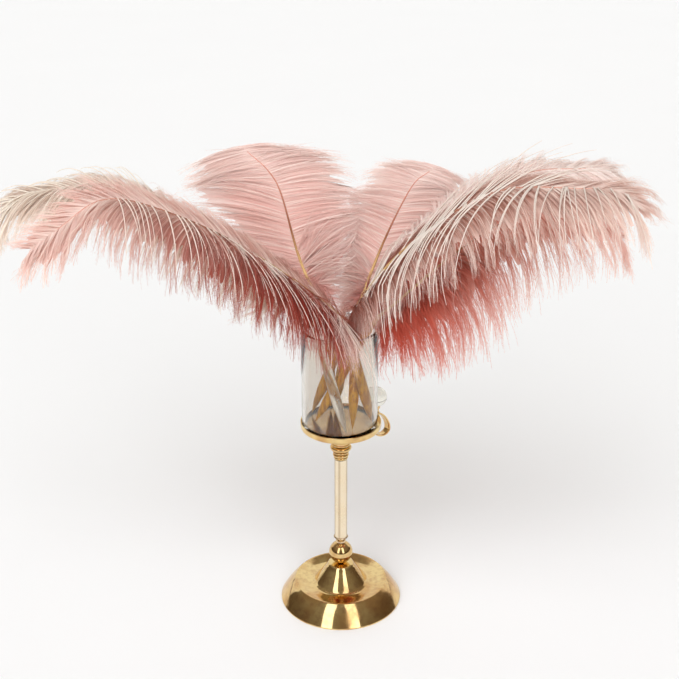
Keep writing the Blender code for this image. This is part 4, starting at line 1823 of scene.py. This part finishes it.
def bouquet() -> list[Plume]:
    """Lay out the plumes; x to the viewer's right, y away, z up.

    Returns:
        The seven plumes.
    """
    return [
        Plume("plume_left_front", (26.6, -4.4), (6.8, -22.3),
              [(-12.0, -34.0, 303.0), (-77.0, -65.0, 364.0), (-134.0, -93.0, 402.0),
               (-169.0, -116.0, 415.0), (-198.0, -134.0, 399.0)],
              UP, (60.0, 78.0), (0.35, 1.1), (0.82, 0.72, 0.62), WEDGES[6], BRICK,
              BarbStyle(frizz=1.8, clump=0.3, head_sag=0.3, web=0.7, pale_right=0.5),
              head=26.0, start=16.0, head_bend=0.1, lean=(24.0, 36.0, 64.0),
              tufts=[Tuft(40, (0.0, 0.12), (-50.0, 0.0), (44.0, 40.0), 0.6),
                     Tuft(90, (0.0, 0.1), (-40.0, 60.0), (54.0, 48.0), 0.8, 0.3, 0.1, 0.9),
                     Tuft(42, (0.1, 0.25), (-40.0, 10.0), (74.0, 78.0), 0.95, 0.2, 0.0),
                     Tuft(84, (0.1, 0.3), (-66.0, -30.0), (46.0, 60.0), 0.8, 0.25, 0.0),
                     Tuft(68, (0.25, 0.55), (-40.0, -10.0), (60.0, 58.0), 0.7, 0.25, 0.0)],
              bare=[BareStrands(Side.LEFT, 32, (0.08, 0.5), (-66.0, -38.0), (84.0, 66.0), (0.5, 0.75),
                                radius=0.55),
                    BareStrands(Side.LEFT, 20, (0.4, 0.75), (-30.0, 10.0), (56.0, 52.0), (0.8, 0.8))],
              seed=11),
        Plume("plume_left_back", (4.6, -26.1), (-22.5, 1.9),
              [(-44.0, 7.5, 300.0), (-116.0, 12.0, 353.0), (-182.0, 5.0, 391.0),
               (-234.0, -12.0, 392.0)],
              UP, (46.0, 72.0), (0.6, 0.75), (0.7, 0.7, 0.9), WEDGES[5], BEIGE, BarbStyle(light=0.9),
              bare=[BareStrands(Side.LEFT, 40, (0.45, 0.98), (30.0, 62.0), (52.0, 56.0), (0.6, 0.6),
                                0.0),
                    BareStrands(Side.RIGHT, 30, (0.5, 0.98), (40.0, 62.0), (40.0, 44.0), (0.5, 0.6),
                                0.0)],
              clear_quill=True, seed=12),
        Plume("plume_back_left", (-9.2, 24.9), (-10.3, 19.4),
              [(-23.0, 29.0, 290.0), (-37.0, 42.0, 321.0), (-51.0, 57.0, 369.0),
               (-62.0, 63.0, 388.0), (-80.0, 70.0, 403.0)],
              (-0.1, -1.0, 0.45), (92.0, 92.0), (0.42, 0.32), (0.9, 0.6, 0.7), WEDGES[4], BLUSH,
              FINE_BARBS, head=10.0, start=18.0, lean=(30.0, -46.0, 40.0), press=12.0,
              tufts=[Tuft(110, (0.0, 0.25), (-40.0, 20.0), (48.0, 56.0), 0.3, 0.4, 0.7),
                     Tuft(60, (0.05, 0.3), (10.0, 40.0), (50.0, 60.0), 0.3, 0.4, 0.9)],
              seed=13),
        Plume("plume_back_right", (9.7, -18.1), (13.6, 20.3),
              [(22.0, 36.0, 294.0), (40.0, 53.0, 335.0), (61.0, 64.0, 374.0), (76.0, 69.0, 386.0)],
              (0.25, -1.0, 0.45), (70.0, 66.0), (0.5, 0.42), (0.75, 0.6, 0.7), WEDGES[3], PEARL,
              FINE_BARBS, head=10.0, start=12.0, lean=(30.0, 40.0, -42.0), press=12.0,
              tufts=[Tuft(100, (0.0, 0.25), (-40.0, 20.0), (48.0, 50.0), 0.3, 0.4, 0.4),
                     Tuft(60, (0.0, 0.15), (-60.0, 0.0), (36.0, 46.0), 0.5, 0.4, 0.4)],
              seed=14),
        Plume("plume_right_back", (-26.5, 13.3), (9.0, 11.1),
              [(36.0, 19.0, 304.0), (96.0, 38.0, 357.0), (156.0, 53.0, 388.0),
               (208.0, 60.0, 391.0)],
              UP, (60.0, 60.0), (0.7, 0.45), (0.6, 0.5, 0.8), WEDGES[2], SHELL,
              BarbStyle(frizz=1.4, light=0.6), seed=15),
        Plume("plume_right_middle", (-22.6, -4.6), (23.2, -5.1),
              [(46.0, -2.0, 292.0), (104.0, 6.0, 341.0), (152.0, 6.0, 368.0),
               (196.0, 2.0, 368.0)],
              UP, (112.0, 56.0), (0.92, 0.7), (0.66, 0.36, 0.6), WEDGES[1], CORAL,
              BarbStyle(down=5.0, frizz=2.0, clump=0.25, light=0.5, fray=5.0, web=0.55), start=16.0,
              lean=(-12.0, 54.0, 54.0),
              tufts=[Tuft(70, (0.0, 0.14), (-70.0, -20.0), (56.0, 74.0), 0.8, 0.3, 0.8),
                     Tuft(90, (0.05, 0.4), (-20.0, 20.0), (84.0, 96.0), 0.9, 0.25, 1.0)],
              seed=16),
        Plume("plume_right_front", (-5.5, 23.5), (7.3, -6.5),
              [(18.0, -20.0, 304.0), (54.0, -42.0, 357.0), (114.0, -72.0, 408.0),
               (180.0, -104.0, 420.0)],
              UP, (86.0, 60.0), (0.8, 0.5), (0.6, 0.5, 0.8), WEDGES[0], ROSE,
              BarbStyle(frizz=1.4, clump=0.2), lean=(36.0, 54.0, 62.0),
              tufts=[Tuft(100, (0.0, 0.1), (-60.0, 20.0), (48.0, 48.0), 0.8, 0.4, 0.8),
                     Tuft(70, (0.0, 0.06), (-40.0, 30.0), (32.0, 40.0), 1.0, 0.2, 1.0)],
              bare=[BareStrands(Side.LEFT, 40, (0.04, 0.7), (44.0, 60.0), (58.0, 62.0), (0.3, 0.3),
                                0.0, 0.5),
                    BareStrands(Side.RIGHT, 34, (0.06, 0.62), (-58.0, -34.0), (62.0, 84.0), (0.8, 0.8),
                                0.45, 0.7),
                    BareStrands(Side.RIGHT, 22, (0.6, 0.95), (-20.0, 40.0), (74.0, 52.0), (0.7, 0.6),
                                0.3, 0.75)],
              seed=17),
    ]


# ----- Studio -----

@dataclass(frozen=True)
class SoftSky:
    """A broad, far source of soft light that polished metal doesn't mirror.

    Args:
        name: Name of the light.
        toward: Direction in which it shines.
        spread: Its width as seen from the object, in degrees.
        power: Light that falls on a surface that faces it.
        colour: Colour of its light.
    """

    name: str
    toward: Point
    spread: float
    power: float
    colour: Colour = (1.0, 1.0, 1.0)

    def build(self) -> bpy.types.Object:
        """Hang the light.

        Returns:
            The lamp.
        """
        data = bpy.data.lights.new(self.name, "SUN")
        data.angle, data.energy, data.color = radians(self.spread), self.power, self.colour
        lamp = bpy.data.objects.new(self.name, data)
        lamp.rotation_euler = Vector(self.toward).to_track_quat("-Z", "Y").to_euler()
        lamp.visible_glossy = False
        bpy.context.scene.collection.objects.link(lamp)
        return lamp


@dataclass(frozen=True)
class SoftBox:
    """A far rectangle of light, seen in polished metal.

    Args:
        turn: Its direction from the viewer's line of sight, clockwise from above, in degrees.
        rise: Its height above the horizon, in degrees.
        wide: Half its width, in degrees.
        tall: Half its height, in degrees.
        light: Its colour and brightness.
        soft: Half the width of its soft edge, as a share of its size.
    """

    turn: float
    rise: float
    wide: float
    tall: float
    light: Colour = (2.0, 2.03, 2.1)
    soft: float = 0.06

    def over(self, board: Board, way: Wire, behind: Wire) -> Wire:
        """Paint the rectangle over the light behind it.

        Args:
            board: The room's nodes.
            way: Direction of a ray.
            behind: Light of the room there.

        Returns:
            The light with the rectangle.
        """
        turn, rise = radians(self.turn), radians(self.rise)
        middle = (sin(turn) * cos(rise), cos(turn) * cos(rise), sin(rise))
        right = (cos(turn), -sin(turn), 0.0)
        up = (-sin(turn) * sin(rise), -cos(turn) * sin(rise), cos(rise))
        ahead, across, above = (board.add("ShaderNodeVectorMath", {"operation": "DOT_PRODUCT"},
                                          {0: way, 1: axis}, "Value") for axis in (middle, right, up))
        wide, tall = np.tan(radians(self.wide)), np.tan(radians(self.tall))
        outer, inner = 1.0 + self.soft, 1.0 - self.soft
        inside = (abs(across / ahead).step(wide * outer, wide * inner)
                  * abs(above / ahead).step(tall * outer, tall * inner) * ahead.step(0.0, 0.01))
        return board.blend(inside, behind, self.light)


@dataclass
class Studio:
    """Pale floor, soft light and the camera of the reference photo.

    Args:
        eye: Place of the camera.
        pitch: Its turn up from straight down, in degrees.
        lens: Its focal length.
        sensor: Width of its sensor.
        clip: Nearest and farthest things it sees.
        floor_half: Half the width of the paper.
        strength: Strength of the room's light.
        paper: Colour that the camera sees where the floor ends.
        walls: Light of the room by height, from below to above.
        boxes: The soft boxes, the backdrop first.
        skies: The far lights.
    """

    eye: Point = (-0.0012, -0.9213, 0.6533)
    pitch: float = 66.8
    lens: float = 62.72
    sensor: float = 36.0
    clip: Pair = (0.02, 40.0)
    floor_half: float = 9.0
    strength: float = 1.06
    paper: Colour = (0.93, 0.935, 0.945)
    walls: Sequence[tuple[float, Colour]] = (
        (0.0, (0.10, 0.075, 0.05)), (0.25, (0.13, 0.10, 0.075)),
        (0.5, (0.24, 0.21, 0.17)), (1.0, (0.30, 0.27, 0.22)))
    boxes: Sequence[SoftBox] = (
        SoftBox(0.0, 26.0, 60.0, 24.0, (0.86, 0.86, 0.87)),
        SoftBox(-154.0, 36.0, 9.0, 26.0), SoftBox(154.0, 36.0, 9.0, 26.0))
    skies: Sequence[SoftSky] = (
        SoftSky("front_sky", (0.25, 0.8, -0.7), 70.0, 2.45, (0.95, 0.98, 1.0)),
        SoftSky("front_fill", (0.0, 1.0, -0.3), 50.0, 0.5))

    def build(self) -> None:
        """Set up everything that isn't part of the object."""
        self.camera()
        self.floor()
        self.room()
        for sky in self.skies:
            sky.build()
        scene = bpy.context.scene
        scene.view_settings.view_transform = "Standard"
        scene.view_settings.look = "None"

    def camera(self) -> None:
        """Place the camera."""
        data = bpy.data.cameras.new("camera")
        data.sensor_width, data.lens = self.sensor, self.lens
        data.sensor_fit = "HORIZONTAL"
        data.clip_start, data.clip_end = self.clip
        eye = bpy.data.objects.new("camera", data)
        eye.location = self.eye
        eye.rotation_euler = (radians(self.pitch), 0.0, 0.0)
        bpy.context.scene.collection.objects.link(eye)
        bpy.context.scene.camera = eye

    def floor(self) -> None:
        """Lay the paper."""
        h = self.floor_half
        mesh = bpy.data.meshes.new("studio_floor")
        mesh.from_pydata([(-h, -h, 0), (h, -h, 0), (h, h, 0), (-h, h, 0)], [], [(0, 1, 2, 3)])
        mesh.materials.append(PaperFinish().material())
        item = bpy.data.objects.new("studio_floor", mesh)
        bpy.context.scene.collection.objects.link(item)

    def room(self) -> None:
        """Light the room: dim warm walls, a pale backdrop and two soft boxes."""
        board = Board(bpy.data.worlds.new("studio"))
        way = board.add("ShaderNodeTexCoord", output="Generated")
        height = board.add("ShaderNodeSeparateXYZ", None, {0: way}, "Z")
        light = board.ramp(height, self.walls)
        for box in self.boxes:
            light = box.over(board, way, light)
        rays = board.add("ShaderNodeLightPath", output="Is Camera Ray")
        seen = board.blend(rays, light, self.paper)
        glow = board.add("ShaderNodeBackground", None, {"Color": seen, "Strength": self.strength})
        bpy.context.scene.world = board.finish(glow, "ShaderNodeOutputWorld")


def report(item: bpy.types.Object) -> None:
    """Log a piece and its number of triangles."""
    LOG.info("%s: %d triangles", item.name, len(item.data.loops) - 2 * len(item.data.polygons))


def write_sizes() -> None:
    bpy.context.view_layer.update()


def main() -> None:
    """Build the studio, the stand, the glass and the plumes in order."""
    logging.basicConfig(level=logging.INFO, format="%(name)s %(message)s")
    Studio().build()
    loop = FingerLoop()
    for turned in [*Stand().pieces(), Vase().piece(), loop.ball()]:
        report(turned.build())
    report(loop.strip())
    for plume in bouquet():
        for piece in plume.build():
            report(piece)
    write_sizes()


if __name__ == "__main__":
    main()
